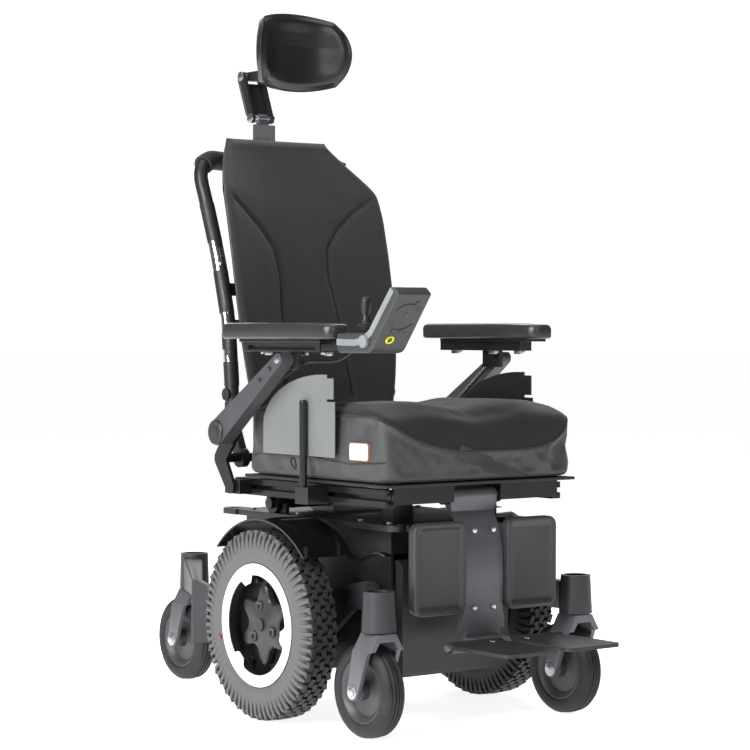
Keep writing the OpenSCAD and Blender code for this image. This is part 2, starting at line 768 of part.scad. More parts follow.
hub_t = 14;
clamp_low = 850;
clamp_h = 44;
bar_low = 800;
cane_low = [recline_pivot[0] + 28, 470];
cane_path = [[cane_x, cane_low[0], cane_low[1]], [cane_x, 207, 560], [cane_x, 218, 663], [cane_x, 248, 770],
  [cane_x, 284, 863], [cane_x - 2, 308, 915], [cane_x - 14, 320, 940], [cane_x - 38, 334, 950],
  [cane_x - 74, 356, 952], [58, 376, 952], [0, 388, 952]];
bar_path = concat([for (p = cane_path) [-p[0], p[1], p[2]]],
  [for (i = [len(cane_path) - 2 : -1 : 0]) cane_path[i]]);
grip_t = 5;

// Levels of the back's front face: height, middle, sides, half width
back_levels = [[506, 180, 148, 150], [560, 184, 153, 160], [620, 193, 160, 167], [700, 211, 172, 170],
  [780, 232, 187, 170], [850, 254, 203, 169], [895, 270, 219, 166], [920, 280, 243, 152], [945, 289, 268, 136],
  [970, 298, 290, 120], [990, 306, 303, 104]];
back_power = 2.2;
shell_inset = 12;
shell_gap = 0.8;

function back_value(z, k) = lookup(z, [for (l = back_levels) [l[0], l[k]]]);

// The shell follows the cushion's back face, inset from its edges
shell_levels = [for (l = back_levels)
  let (z = min(max(l[0], 516), 984), mid = back_value(z, 1), half = back_value(z, 3))
    [z, mid, mid - (mid - back_value(z, 2)) * pow((half - shell_inset) / half, back_power), half - shell_inset]];

module back_half() {
  // Hub plate on the recline pivot, up to the cane's socket
  difference() {
    across(cane_x - hub_t / 2, hub_t) {
      translate(recline_pivot) circle(recline_d / 2 + 9);
      polygon([recline_pivot + [-12, 0], recline_pivot + [14, 0], [cane_low[0] + 14, cane_low[1] + 12],
        [cane_low[0] - 14, cane_low[1] + 12]]);
    }
    rod_x(recline_d / 2 + run_gap, cane_x - hub_t / 2 - 1, cane_x + hub_t / 2 + 1, recline_pivot);
  }
  // Arms from the cane to the shell, and the knob that locks the lower part
  box_at([118, 206, 640], [cane_x, 226, 664]);
  box_at([118, 224, 706], [cane_x, 242, 728]);
  rod_x(11, cane_x + cane_d / 2 - 2, cane_x + cane_d / 2 + 2, [206, 534]);
  // Clamp round the headrest's bar
  box_at([0, back_value(clamp_low, 1) + back_t, clamp_low + 8], [20, bar_y, clamp_low + clamp_h - 8]);
  box_at([0, bar_y - head_bar_t / 2 - 12, clamp_low], [head_bar_w / 2 + 10, bar_y + head_bar_t / 2 + 8, clamp_low + clamp_h]);
}

module back_frame() {
  in_frame() color("#17181a") {
    difference() {
      union() {
        back_half();
        mirror([1, 0, 0]) back_half();
      }
      shell_space();
      headrest_clamp_space();
    }
    swept(smooth(bar_path, 3), cane_d / 2, 16, [0, 1, 0]);
  }
}

// Keeps the shell's own space free of the arms that hold it
module shell_space() {
  wrapped_pad(shell_levels, back_t - 60, 60 + shell_t + shell_gap, 8, back_power);
}

module push_grip() {
  grip = [for (i = [6 : len(bar_path) - 7]) bar_path[i]];
  in_frame() color("#1d1e20") difference() {
    swept(smooth(grip, 3), cane_d / 2 + grip_t, 16, [0, 1, 0]);
    swept(smooth(bar_path, 3), cane_d / 2 + 0.02, 16, [0, 1, 0]);
  }
}

module back_shell() {
  in_frame() color("#111214") wrapped_pad(shell_levels, back_t + shell_gap, shell_t, 8, back_power);
}

module back_cushion() {
  in_frame() color("#232326") wrapped_pad(back_levels, 0, back_t, 8, back_power);
}

// ---------- headrest ----------

module headrest_clamp_space() {
  box_at([-head_bar_w / 2 - run_gap, bar_y - head_bar_t / 2 - run_gap, bar_low - 100],
    [head_bar_w / 2 + run_gap, bar_y + head_bar_t / 2 + run_gap, head_low[1] + 60]);
}

module headrest_bar() {
  in_frame() color("#8b8e92") {
    box_at([-head_bar_w / 2, bar_y - head_bar_t / 2, bar_low], [head_bar_w / 2, bar_y + head_bar_t / 2, head_low[1] - 12]);
    difference() {
      across(-10, 20) {
        translate(head_low) circle(head_joint_d / 2);
        polygon([[bar_y - head_bar_t / 2, head_low[1] - 20], [bar_y + head_bar_t / 2, head_low[1] - 20],
          [head_low[0] + 8, head_low[1]], [head_low[0] - 8, head_low[1]]]);
      }
      rod_x(head_pin_d / 2 + run_gap, -11, 11, head_low);
    }
  }
}

module headrest_link() {
  in_frame() color("#1b1c1e") {
    for (x = [-head_bar_w / 2, head_bar_w / 2 - 6])
      across(x, 6) tapered_bar(head_low, head_joint_d / 2, head_high, head_joint_d / 2);
    rod_x(head_pin_d / 2, -head_bar_w / 2 + 6 - eps, head_bar_w / 2 - 6 + eps, head_low);
    rod_x(head_pin_d / 2, -head_bar_w / 2 + 6 - eps, head_bar_w / 2 - 6 + eps, head_high);
  }
}

head_levels = [[head_top - 139, 250, 222, 64], [head_top - 131, 251, 214, 85], [head_top - 115, 252, 209, 95],
  [head_top - 88, 254, 207, head_half_w], [head_top - 58, 255, 208, head_half_w], [head_top - 32, 254, 212, 92],
  [head_top - 14, 252, 218, 78], [head_top, 250, 226, 54]];
head_t = 36;

module headrest_pad() {
  in_frame() color("#1c1d20") {
    wrapped_pad(head_levels, 0, head_t, 8, 2.0);
    difference() {
      across(-12, 24) tapered_bar(head_high, head_joint_d / 2, [286, head_high[1] + 14], 14);
      rod_x(head_pin_d / 2 + run_gap, -13, 13, head_high);
      wrapped_pad(head_levels, 0, head_t - eps, 8, 2.0);
    }
  }
}

// ---------- armrests ----------

module swing_arm(side) {
  in_frame() on_side(side) color("#4a4c50") difference() {
    across(arm_in, swing_t) tapered_bar(arm_pivot, 22, arm_tip, 11);
    rod_x(arm_pin_d / 2 + run_gap, arm_in - 1, arm_in + swing_t - 5.5, arm_pivot);
    rod_x(4, arm_in - 1, arm_in + swing_t + 1, arm_tip);
  }
}
module swing_arm_right() { swing_arm("right"); }
module swing_arm_left() { swing_arm("left"); }

channel_x = arm_in - 21;
channel_w = 26;
bracket_back = 84;
bracket_front = -166;

// The bracket's slotted channel takes the pad's bolts; the tab below it is bolted to the swing arm's tip
module arm_bracket(side) {
  in_frame() on_side(side) color("#202124") difference() {
    union() {
      box_at([pad_x - 24, bracket_front + 10, pad_z - 5], [pad_x + 24, bracket_back - 8, pad_z]);
      box_at([channel_x, bracket_front + 30, pad_z - 21], [channel_x + channel_w, bracket_back, pad_z - 5 + eps]);
      box_at([arm_in - 9, arm_tip[0] - 20, arm_tip[1] - 16], [arm_in - 1, arm_tip[0] + 26, pad_z - 5 + eps]);
    }
    box_at([channel_x + channel_w - 6, bracket_front + 44, pad_z - 16],
      [channel_x + channel_w + 1, bracket_back - 14, pad_z - 10]);
    across(arm_in - 1, swing_t + 2) tapered_bar(arm_pivot, 22.1, arm_tip, 11.1);
  }
  in_frame() on_side(side) color("#202124") rod_x(4, arm_in - 1 - eps, arm_in + swing_t + 2, arm_tip);
}
module arm_bracket_right() { arm_bracket("right"); }
module arm_bracket_left() { arm_bracket("left"); }

module arm_pad(side) {
  in_frame() on_side(side) color("#2a2b2e") translate([pad_x, pad_y, pad_z]) {
    linear_extrude(pad_t - 4) rounded_rect([pad_w, pad_l], 16);
    translate([0, 0, pad_t - 4 - eps]) linear_extrude(4) rounded_rect([pad_w - 8, pad_l - 8], 14);
  }
}
module arm_pad_right() { arm_pad("right"); }
module arm_pad_left() { arm_pad("left"); }

module joystick_lead() {
  in_frame() color("#0d0d0e") swept(smooth(lead_route, 4), lead_d / 2, 8, [1, 0, 0]);
}

// ---------- joystick ----------

joy_back = -215;
joy_bend = -295;
display_l = 98;
display_t = 22;
display_tilt = 50;
key_y = -279;
key_r = 5;

module joystick_outline() {
  reach = display_l * [-cos(display_tilt), sin(display_tilt)];
  drop = display_t * [-sin(display_tilt), -cos(display_tilt)];
  top = [joy_bend, joy_top];
  polygon([[joy_back, joy_bottom + 6], [joy_back - 6, joy_bottom], [joy_bend + 14, joy_bottom],
    [joy_bend + 4, joy_bottom + 1], top + drop + [-2, -1], top + reach + drop, top + reach + drop * 0.3,
    top + reach + [3, -1], top, [joy_back, joy_top]]);
}

module joystick_box() {
  in_frame() color("#6a6d70") {
    difference() {
      across(joy_x - joy_w / 2, joy_w) joystick_outline();
      translate([joy_x, stick_y, joy_bottom + 8]) cylinder(r = boot_r + 0.5, h = 60);
      translate([joy_x + 24, key_y, joy_top - 5]) cylinder(r = key_r + 0.3, h = 10);
      rod_x(4 + run_gap, joy_x - joy_w / 2 - 1, joy_x - joy_w / 2 + 10, [joy_bend + 4, joy_top - 12]);
    }
    // Tongue that is held under the front of the pad's bracket
    box_at([joy_x - 8, joy_back - eps, joy_bottom + 4], [joy_x + 8, bracket_front + 30 - eps, joy_bottom + 15]);
  }
}

module joystick_gimbal() {
  in_frame() color("#8d9093") translate([joy_x, stick_y, joy_bottom + 12])
    cylinder(r = 5, h = stick_z - boot_r - joy_bottom - 12.4);
}

module joystick_stick() {
  in_frame() color("#141416") translate([joy_x, stick_y, stick_z]) {
    sphere(r = boot_r);
    cylinder(r = 5, h = 30);
    translate([0, 0, 24]) cylinder(r1 = 6.5, r2 = 9, h = 22);
    translate([0, 0, 46 - eps]) cylinder(r1 = 9, r2 = 6, h = 5);
  }
}

module joystick_key() {
  in_frame() color("#c8cacc") translate([joy_x + 24, key_y, joy_top - 3]) cylinder(r = key_r, h = 5);
}

module speed_knob() {
  in_frame() color("#d9dadb") {
    rod_x(10, joy_x - joy_w / 2 - 7, joy_x - joy_w / 2 - 0.5, [joy_bend + 4, joy_top - 12]);
    rod_x(4, joy_x - joy_w / 2 - 0.5 - eps, joy_x - joy_w / 2 + 9, [joy_bend + 4, joy_top - 12]);
  }
}

// ---------- legrest ----------

column_t = 8;
column_line = [[-246, 352], [-258, 335], [-270, 300], [-275, 250], [-273, 195], [-272, 160]];

module column_profile() {
  line = smooth(column_line, 4);
  polygon(concat([for (p = line) p + [-column_t / 2, 0]],
    [for (i = [len(line) - 1 : -1 : 0]) line[i] + [column_t / 2, 0]]));
}

// Wide at the hinge, waisted between the calf pads and a little wider again at the foot
module column_front() {
  top = column_top_w / 2;
  waist = column_w / 2;
  polygon([[-top, 400], [-top, 362], [-waist, 342], [-waist, 188], [-waist - 4, 178], [-waist - 4, 160],
    [-32, 136], [32, 136], [waist + 4, 160], [waist + 4, 178], [waist, 188], [waist, 342], [top, 362], [top, 400]]);
}

module legrest_column() {
  in_frame() color("#8f9296") {
    difference() {
      intersection() {
        across(-column_top_w / 2, column_top_w) {
          column_profile();
          translate(leg_pivot) circle(leg_boss_r);
          polygon([leg_pivot + [-12, -4], leg_pivot + [12, -4], [-242, 351], [-250, 351]]);
        }
        along(-400, 400) column_front();
      }
      rod_x(leg_pin_d / 2 + run_gap, -column_top_w / 2 - 1, column_top_w / 2 + 1, leg_pivot);
    }
    // Foot, which carries the footplates' hinge pin
    across(-36, 72) polygon([[-276, 175], [-268, 175], [-268, foot_z - 10], [foot_pivot[0] + 12, foot_z - 10],
      [foot_pivot[0] + 12, foot_z - 1], [-276, foot_z - 1]]);
    across(-5, 10) tapered_bar(foot_pivot, foot_pin_d / 2 + 4, foot_pivot + [16, 0], 6);
    rod_x(foot_pin_d / 2, -plate_w - 12, plate_w + 12, foot_pivot);
    // Pins of the calf pads
    box_at([-column_w / 2 + 8, -272, calf_pivot[1] - 9], [column_w / 2 - 8, calf_pivot[0] + 9, calf_pivot[1] + 9]);
    rod_x(calf_pin_d / 2, -calf_x - 30, calf_x + 30, calf_pivot);
  }
}

calf_x = 96;
calf_front = -288;
calf_back = -270;
calf_half = 53;
calf_pivot = [-255, 264];
calf_pin_d = 10;

module calf_outline() {
  polygon([[-calf_half + 12, 190], [-calf_half + 3, 193], [-calf_half, 202], [-calf_half, 328], [-calf_half + 6, 337],
    [-calf_half + 16, 339], [calf_half - 14, 331], [calf_half - 3, 326], [calf_half, 314], [calf_half, 222],
    [calf_half - 4, 211], [calf_half - 14, 206]]);
}

module calf_pad(side) {
  in_frame() on_side(side) color("#3a3c3f") {
    difference() {
      translate([calf_x, 0, 0]) along(calf_front, calf_back - calf_front) calf_outline();
      translate([calf_x, calf_front - 142, 150]) cylinder(r = 150, h = 240);
    }
    // Sleeve that turns on the column's pin
    difference() {
      union() {
        rod_x(calf_pin_d / 2 + 5, calf_x - 22, calf_x + 22, calf_pivot);
        box_at([calf_x - 22, calf_back - eps, calf_pivot[1] - 8], [calf_x + 22, calf_pivot[0], calf_pivot[1] + 8]);
      }
      rod_x(calf_pin_d / 2 + run_gap, calf_x - 23, calf_x + 23, calf_pivot);
    }
  }
}
module calf_pad_right() { calf_pad("right"); }
module calf_pad_left() { calf_pad("left"); }

module footplate(side) {
  low = foot_z - foot_t;
  in_frame() on_side(side) color("#1a1b1d") difference() {
    union() {
      translate([8 + plate_w / 2, foot_pivot[0] - plate_l / 2 - 6, low]) linear_extrude(foot_t)
        rounded_rect([plate_w, plate_l - 12], 12);
      across(10, plate_w - 6) {
        translate(foot_pivot) circle(foot_pin_d / 2 + 4);
        translate([foot_pivot[0] - 16, low]) square([16, foot_t]);
      }
    }
    rod_x(foot_pin_d / 2 + run_gap, 5, plate_w + 20, foot_pivot);
  }
}
module footplate_right() { footplate("right"); }
module footplate_left() { footplate("left"); }

chassis_frame();
battery_box();
batteries();
power_module();
fenders();
drive_arm_right();
drive_arm_left();
gearmotor_right();
gearmotor_left();
drive_rim_right();
drive_rim_left();
drive_tyre_right();
drive_tyre_left();
front_fork_right();
front_fork_left();
rear_fork_right();
rear_fork_left();
front_caster_rim_right();
front_caster_rim_left();
rear_caster_rim_right();
rear_caster_rim_left();
front_caster_tyre_right();
front_caster_tyre_left();
rear_caster_tyre_right();
rear_caster_tyre_left();
rear_arm_right();
rear_arm_left();
tilt_drive();
seat_frame();
seat_pan();
seat_cushion();
skirt_guards();
guard_posts();
recline_drive();
seat_cable();
back_frame();
push_grip();
back_shell();
back_cushion();
headrest_bar();
headrest_link();
headrest_pad();
swing_arm_right();
swing_arm_left();
arm_bracket_right();
arm_bracket_left();
arm_pad_right();
arm_pad_left();
joystick_lead();
joystick_box();
joystick_gimbal();
joystick_stick();
joystick_key();
speed_knob();
legrest_column();
calf_pad_right();
calf_pad_left();
footplate_right();
footplate_left();
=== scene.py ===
import json
import math

import bmesh
import bpy
from mathutils import Matrix, Vector, noise
from mathutils.bvhtree import BVHTree

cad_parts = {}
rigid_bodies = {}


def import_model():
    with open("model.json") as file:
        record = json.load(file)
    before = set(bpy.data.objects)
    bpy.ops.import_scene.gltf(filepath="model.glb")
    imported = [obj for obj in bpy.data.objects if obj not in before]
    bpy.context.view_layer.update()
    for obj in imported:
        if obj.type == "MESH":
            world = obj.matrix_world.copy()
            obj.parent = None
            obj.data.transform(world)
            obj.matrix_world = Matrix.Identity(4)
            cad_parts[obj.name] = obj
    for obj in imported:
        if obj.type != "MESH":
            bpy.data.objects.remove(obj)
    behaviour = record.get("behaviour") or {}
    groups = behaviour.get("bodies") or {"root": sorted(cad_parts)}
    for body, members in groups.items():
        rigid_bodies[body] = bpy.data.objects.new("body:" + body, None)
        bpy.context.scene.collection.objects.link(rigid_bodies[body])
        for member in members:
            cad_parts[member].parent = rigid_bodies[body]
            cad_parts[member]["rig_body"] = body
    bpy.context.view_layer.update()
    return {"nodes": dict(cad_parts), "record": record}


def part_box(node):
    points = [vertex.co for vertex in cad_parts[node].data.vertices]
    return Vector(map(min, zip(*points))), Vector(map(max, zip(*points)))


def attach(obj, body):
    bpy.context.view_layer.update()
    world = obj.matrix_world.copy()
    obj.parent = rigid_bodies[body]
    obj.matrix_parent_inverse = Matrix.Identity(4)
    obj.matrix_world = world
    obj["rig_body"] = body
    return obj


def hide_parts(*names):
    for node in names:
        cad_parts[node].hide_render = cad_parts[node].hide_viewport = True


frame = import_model()
print("frame loaded", len(frame["nodes"]), "nodes")


def middle(node):
    low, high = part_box(node)
    return (low + high) / 2


axle = middle("drive_tyre_right")   # the drive axle's line, which sizes below are measured from


def at(x, y, z):   # millimetres from the drive axle's line, the mid-plane and the floor
    return Vector((x / 1000, y / 1000 + axle.y, z / 1000))


def inMillimetres(place):   # the reverse of at()
    return place.x * 1000, (place.y - axle.y) * 1000, place.z * 1000


def linked(name, data):   # a new object in the scene
    made = bpy.data.objects.new(name, data)
    bpy.context.scene.collection.objects.link(made)
    return made


# Camera, light and stage

cameraSet = {"place": (-2396.5, -3165.4, 645), "turn": -37, "pitch": -1.1, "lens": 111.07, "sensor": 36}
lightSet = [
    # name, place, aimed at, size, power, colour
    ("keyLeft", (-2700, -500, 2000), (0, 0, 500), (1.5, 2.6), 130, (1, 1, 1)),
    ("fillFront", (-1500, -3300, 2300), (0, 0, 500), (1.6, 1.2), 16, (1, 1, 1)),
    ("rimBack", (1500, 2600, 2200), (0, 0, 600), (2.4, 1.6), 40, (1, 1, 1)),
    ("topSoft", (0, 100, 3300), (0, 0, 500), (2.6, 2.6), 28, (1, 1, 1)),
]
stageSet = {"size": 60, "worldLight": 0.14, "worldSeen": 1.1, "floorGlow": 0.86}


def makeCamera():
    data = bpy.data.cameras.new("camera")
    data.sensor_width = cameraSet["sensor"]
    data.sensor_fit = "HORIZONTAL"
    data.lens = cameraSet["lens"]
    data.clip_end = 60
    camera = linked("camera", data)
    camera.location = at(*cameraSet["place"])
    camera.rotation_euler = (math.radians(90 + cameraSet["pitch"]), 0, math.radians(cameraSet["turn"]))
    bpy.context.scene.camera = camera


def makeLights():
    for name, place, target, size, power, colour in lightSet:
        data = bpy.data.lights.new(name, "AREA")
        data.shape = "RECTANGLE"
        data.size, data.size_y = size
        data.energy = power
        data.color = colour
        lamp = linked(name, data)
        lamp.location = at(*place)
        lamp.rotation_euler = (at(*target) - at(*place)).to_track_quat("-Z", "Y").to_euler()
    world = bpy.data.worlds.new("studio")
    world.use_nodes = True
    tree = world.node_tree
    sky = tree.nodes["Background"]
    sky.inputs["Color"].default_value = (1, 1, 1, 1)
    sky.inputs["Strength"].default_value = stageSet["worldLight"]
    seen = tree.nodes.new("ShaderNodeBackground")
    seen.inputs["Color"].default_value = (1, 1, 1, 1)
    seen.inputs["Strength"].default_value = stageSet["worldSeen"]
    choice = tree.nodes.new("ShaderNodeMixShader")
    paths = tree.nodes.new("ShaderNodeLightPath")
    tree.links.new(paths.outputs["Is Camera Ray"], choice.inputs[0])
    tree.links.new(sky.outputs[0], choice.inputs[1])
    tree.links.new(seen.outputs[0], choice.inputs[2])
    tree.links.new(choice.outputs[0], tree.nodes["World Output"].inputs["Surface"])
    bpy.context.scene.world = world
    bpy.context.scene.view_settings.view_transform = "Standard"


# Shaders

class Wire:   # a node's socket that can stand in a sum
    def __init__(self, recipe, socket):
        self.recipe = recipe
        self.socket = socket

    def maths(self, operation, *values):
        return self.recipe.node("ShaderNodeMath", {"operation": operation}, *values)

    def __add__(self, other):
        return self.maths("ADD", self, other)

    def __sub__(self, other):
        return self.maths("SUBTRACT", self, other)

    def __rsub__(self, other):
        return self.maths("SUBTRACT", other, self)

    def __mul__(self, other):
        return self.maths("MULTIPLY", self, other)

    __radd__ = __add__
    __rmul__ = __mul__

    def above(self, edge):
        return self.maths("GREATER_THAN", self, edge)

    def wave(self):
        return self.maths("SINE", self)

    def size(self):
        return self.maths("ABSOLUTE", self)

    def clipped(self, low, high):
        return self.recipe.node("ShaderNodeMapRange", {"clamp": True}, self, low, high, 0.0, 1.0)


class Recipe:   # one material
    def __init__(self, name, colour, roughness, metallic=0.0, **fixed):
        self.material = bpy.data.materials.new(name)
        self.material.use_nodes = True
        self.tree = self.material.node_tree
        self.shader = self.tree.nodes["Principled BSDF"]
        self.set("Base Color", (*colour, 1))
        self.set("Roughness", roughness)
        self.set("Metallic", metallic)
        for socket, value in fixed.items():
            self.set(socket.replace("_", " "), value)
        self.places = self.node("ShaderNodeTexCoord", {}, out="Object")

    def set(self, socket, value):
        self.shader.inputs[socket].default_value = value

    def plug(self, value, socket):
        if isinstance(value, Wire):
            self.tree.links.new(value.socket, socket)
        elif value is not None:
            socket.default_value = value

    def node(self, kind, settings, *values, out=0, **named):
        made = self.tree.nodes.new(kind)
        for key, value in settings.items():
            setattr(made, key, value)
        for index, value in enumerate(values):
            self.plug(value, made.inputs[index])
        for key, value in named.items():
            self.plug(value, made.inputs[key])
        return Wire(self, made.outputs[out])

    def noise(self, scale, detail=2.0, places=None):
        return self.node("ShaderNodeTexNoise", {}, Vector=places or self.places, Scale=scale, Detail=detail)

    def cells(self, scale, feature="F1"):
        return self.node("ShaderNodeTexVoronoi", {"feature": feature}, Vector=self.places, Scale=scale)

    def part(self, letter):
        return self.node("ShaderNodeSeparateXYZ", {}, self.places, out=letter)

    def mix(self, factor, first, second):
        made = self.tree.nodes.new("ShaderNodeMix")
        made.data_type = "RGBA"
        self.plug(factor, made.inputs[0])
        self.plug(first if isinstance(first, Wire) else (*first, 1), made.inputs[6])
        self.plug(second if isinstance(second, Wire) else (*second, 1), made.inputs[7])
        return Wire(self, made.outputs[2])

    def feed(self, socket, value):
        self.plug(value, self.shader.inputs[socket])

    def bump(self, height, depth, strength=1.0, under=None):
        made = self.tree.nodes.new("ShaderNodeBump")
        made.inputs["Strength"].default_value = strength
        made.inputs["Distance"].default_value = depth
        self.plug(height, made.inputs["Height"])
        self.plug(under, made.inputs["Normal"])
        return Wire(self, made.outputs[0])

    def attribute(self, name):
        return self.node("ShaderNodeAttribute", {"attribute_name": name}, out="Fac")


def coated(name, colour, roughness, grain=900, depth=0.00012, mottle=0.12, metallic=0.0, **fixed):
    made = Recipe(name, colour, roughness, metallic, **fixed)
    patches = made.noise(14.0, 3.0)
    fine = made.noise(float(grain), 2.0)
    lighter = [min(1, c * (1 + mottle) + 0.002) for c in colour]
    darker = [c * (1 - mottle) for c in colour]
    made.feed("Base Color", made.mix(patches.clipped(0.3, 0.7), darker, lighter))
    made.feed("Roughness", (patches - 0.5) * 0.14 + roughness)
    made.feed("Normal", made.bump(fine, depth, 0.5))
    return made.material


def brushed(name, colour, roughness, direction="Z"):
    made = Recipe(name, colour, roughness, 1.0)
    stretch = {"X": (30.0, 900.0, 900.0), "Y": (900.0, 30.0, 900.0), "Z": (900.0, 900.0, 30.0)}[direction]
    lines = made.node("ShaderNodeMapping", {}, Vector=made.places, Scale=stretch)
    streaks = made.noise(1.0, 3.0, lines)
    made.feed("Roughness", (streaks - 0.5) * 0.2 + roughness)
    made.feed("Normal", made.bump(streaks, 0.00006, 0.4))
    return made.material


def tyreRubber(name, colour, dusty, litWallFrom=9.0):   # painted highlight: greyer on the walls that face outwards, standing in for the side light on them
    made = Recipe(name, colour, 0.62, Specular_IOR_Level=0.4)
    dust = made.noise(26.0, 5.0)
    fine = made.noise(700.0, 3.0)
    dull = [c + dusty for c in colour]
    tone = made.mix(dust.clipped(0.42, 0.72), colour, dull)
    # painted highlight: the outer walls get a lighter grey for the light falling on them; the dust tone under
    # it is real
    wall = made.part("X").size().clipped(litWallFrom, litWallFrom + 0.003)
    made.feed("Base Color", made.mix(wall, tone, [c + 0.07 for c in dull]))
    made.feed("Roughness", dust * 0.25 + 0.45)
    made.feed("Normal", made.bump(fine, 0.0003, 0.6))
    return made.material


def knitFabric(name, colour, sheen, pitch):
    made = Recipe(name, colour, 0.82, Sheen_Weight=sheen, Sheen_Roughness=0.45)
    across = made.part("X") + made.part("Y") * 0.35
    up = made.part("Z") + made.part("Y") * 0.5
    ribs = (across * (6.283 / pitch)).wave() * (up * (6.283 / pitch)).wave()
    loops = ribs.clipped(-1.0, 1.0)
    patches = made.noise(9.0, 4.0)
    tone = made.mix(patches.clipped(0.3, 0.7), [c * 0.8 for c in colour], [c * 1.25 for c in colour])
    made.feed("Base Color", made.mix(loops * 0.45, tone, [c * 0.45 for c in colour]))
    made.feed("Normal", made.bump(loops, 0.0005, 0.5))
    return made.material


def spacerMesh(name, colour, pitch):
    made = Recipe(name, colour, 0.78, Sheen_Weight=0.25, Sheen_Roughness=0.5)
    slantA = (made.part("X") + made.part("Z")) * (3.1416 / pitch)
    slantB = (made.part("X") - made.part("Z")) * (3.1416 / pitch)
    holes = (slantA.wave() * slantB.wave()).size().clipped(0.25, 0.8)
    patches = made.noise(6.0, 3.0)
    tone = made.mix(patches.clipped(0.3, 0.7), [c * 0.85 for c in colour], [c * 1.2 for c in colour])
    made.feed("Base Color", made.mix(holes, [c * 0.35 for c in colour], tone))
    made.feed("Roughness", 0.9 - holes * 0.18)
    made.feed("Normal", made.bump(holes, 0.0009, 0.55))
    return made.material


def cushionCover(name, top, nylon):   # stretch top above the hem, woven nylon below it
    made = Recipe(name, top, 0.8, Sheen_Weight=0.22, Sheen_Roughness=0.4)
    below = made.attribute("belowHem").above(0.0)
    pitch = 0.0022
    loops = ((made.part("X") + made.part("Z") * 0.5) * (6.283 / pitch)).wave() * \
        ((made.part("Y") + made.part("Z") * 0.5) * (6.283 / pitch)).wave()
    threads = made.cells(1100.0)
    patches = made.noise(7.0, 4.0)
    topTone = made.mix(patches.clipped(0.3, 0.7), [c * 0.8 for c in top], [c * 1.3 for c in top])
    nylonTone = made.mix(patches.clipped(0.3, 0.7), [c * 0.85 for c in nylon], [c * 1.15 for c in nylon])
    made.feed("Base Color", made.mix(below, topTone, nylonTone))
    made.feed("Roughness", 0.84 - below * 0.3)
    knit = made.bump(loops.clipped(-1.0, 1.0) * (1 - below), 0.0005, 0.4)
    made.feed("Normal", made.bump(threads * below, 0.0002, 0.4, knit))
    return made.material


def vinyl(name, colour):
    made = Recipe(name, colour, 0.26, Coat_Weight=0.35, Coat_Roughness=0.18)
    grain = made.cells(620.0, "SMOOTH_F1")
    patches = made.noise(20.0, 3.0)
    made.feed("Roughness", patches * 0.16 + 0.2)
    made.feed("Normal", made.bump(grain, 0.00025, 0.28))
    return made.material


def paleOutsideShadedInside(name, outer, inner, edge):   # a panel that is pale outside, with its inner face painted black as painted shade
    made = Recipe(name, outer, 0.46)
    # painted shade: everything inside the edge gets the black colour for the shadow the inner face lies in
    outside = made.part("X").size().above(edge)
    patches = made.noise(16.0, 3.0)
    pale = made.mix(patches.clipped(0.3, 0.7), [c * 0.95 for c in outer], [c * 1.05 for c in outer])
    made.feed("Base Color", made.mix(outside, inner, pale))
    made.feed("Roughness", patches * 0.12 + 0.38)
    made.feed("Normal", made.bump(made.noise(800.0), 0.00015, 0.5))
    return made.material


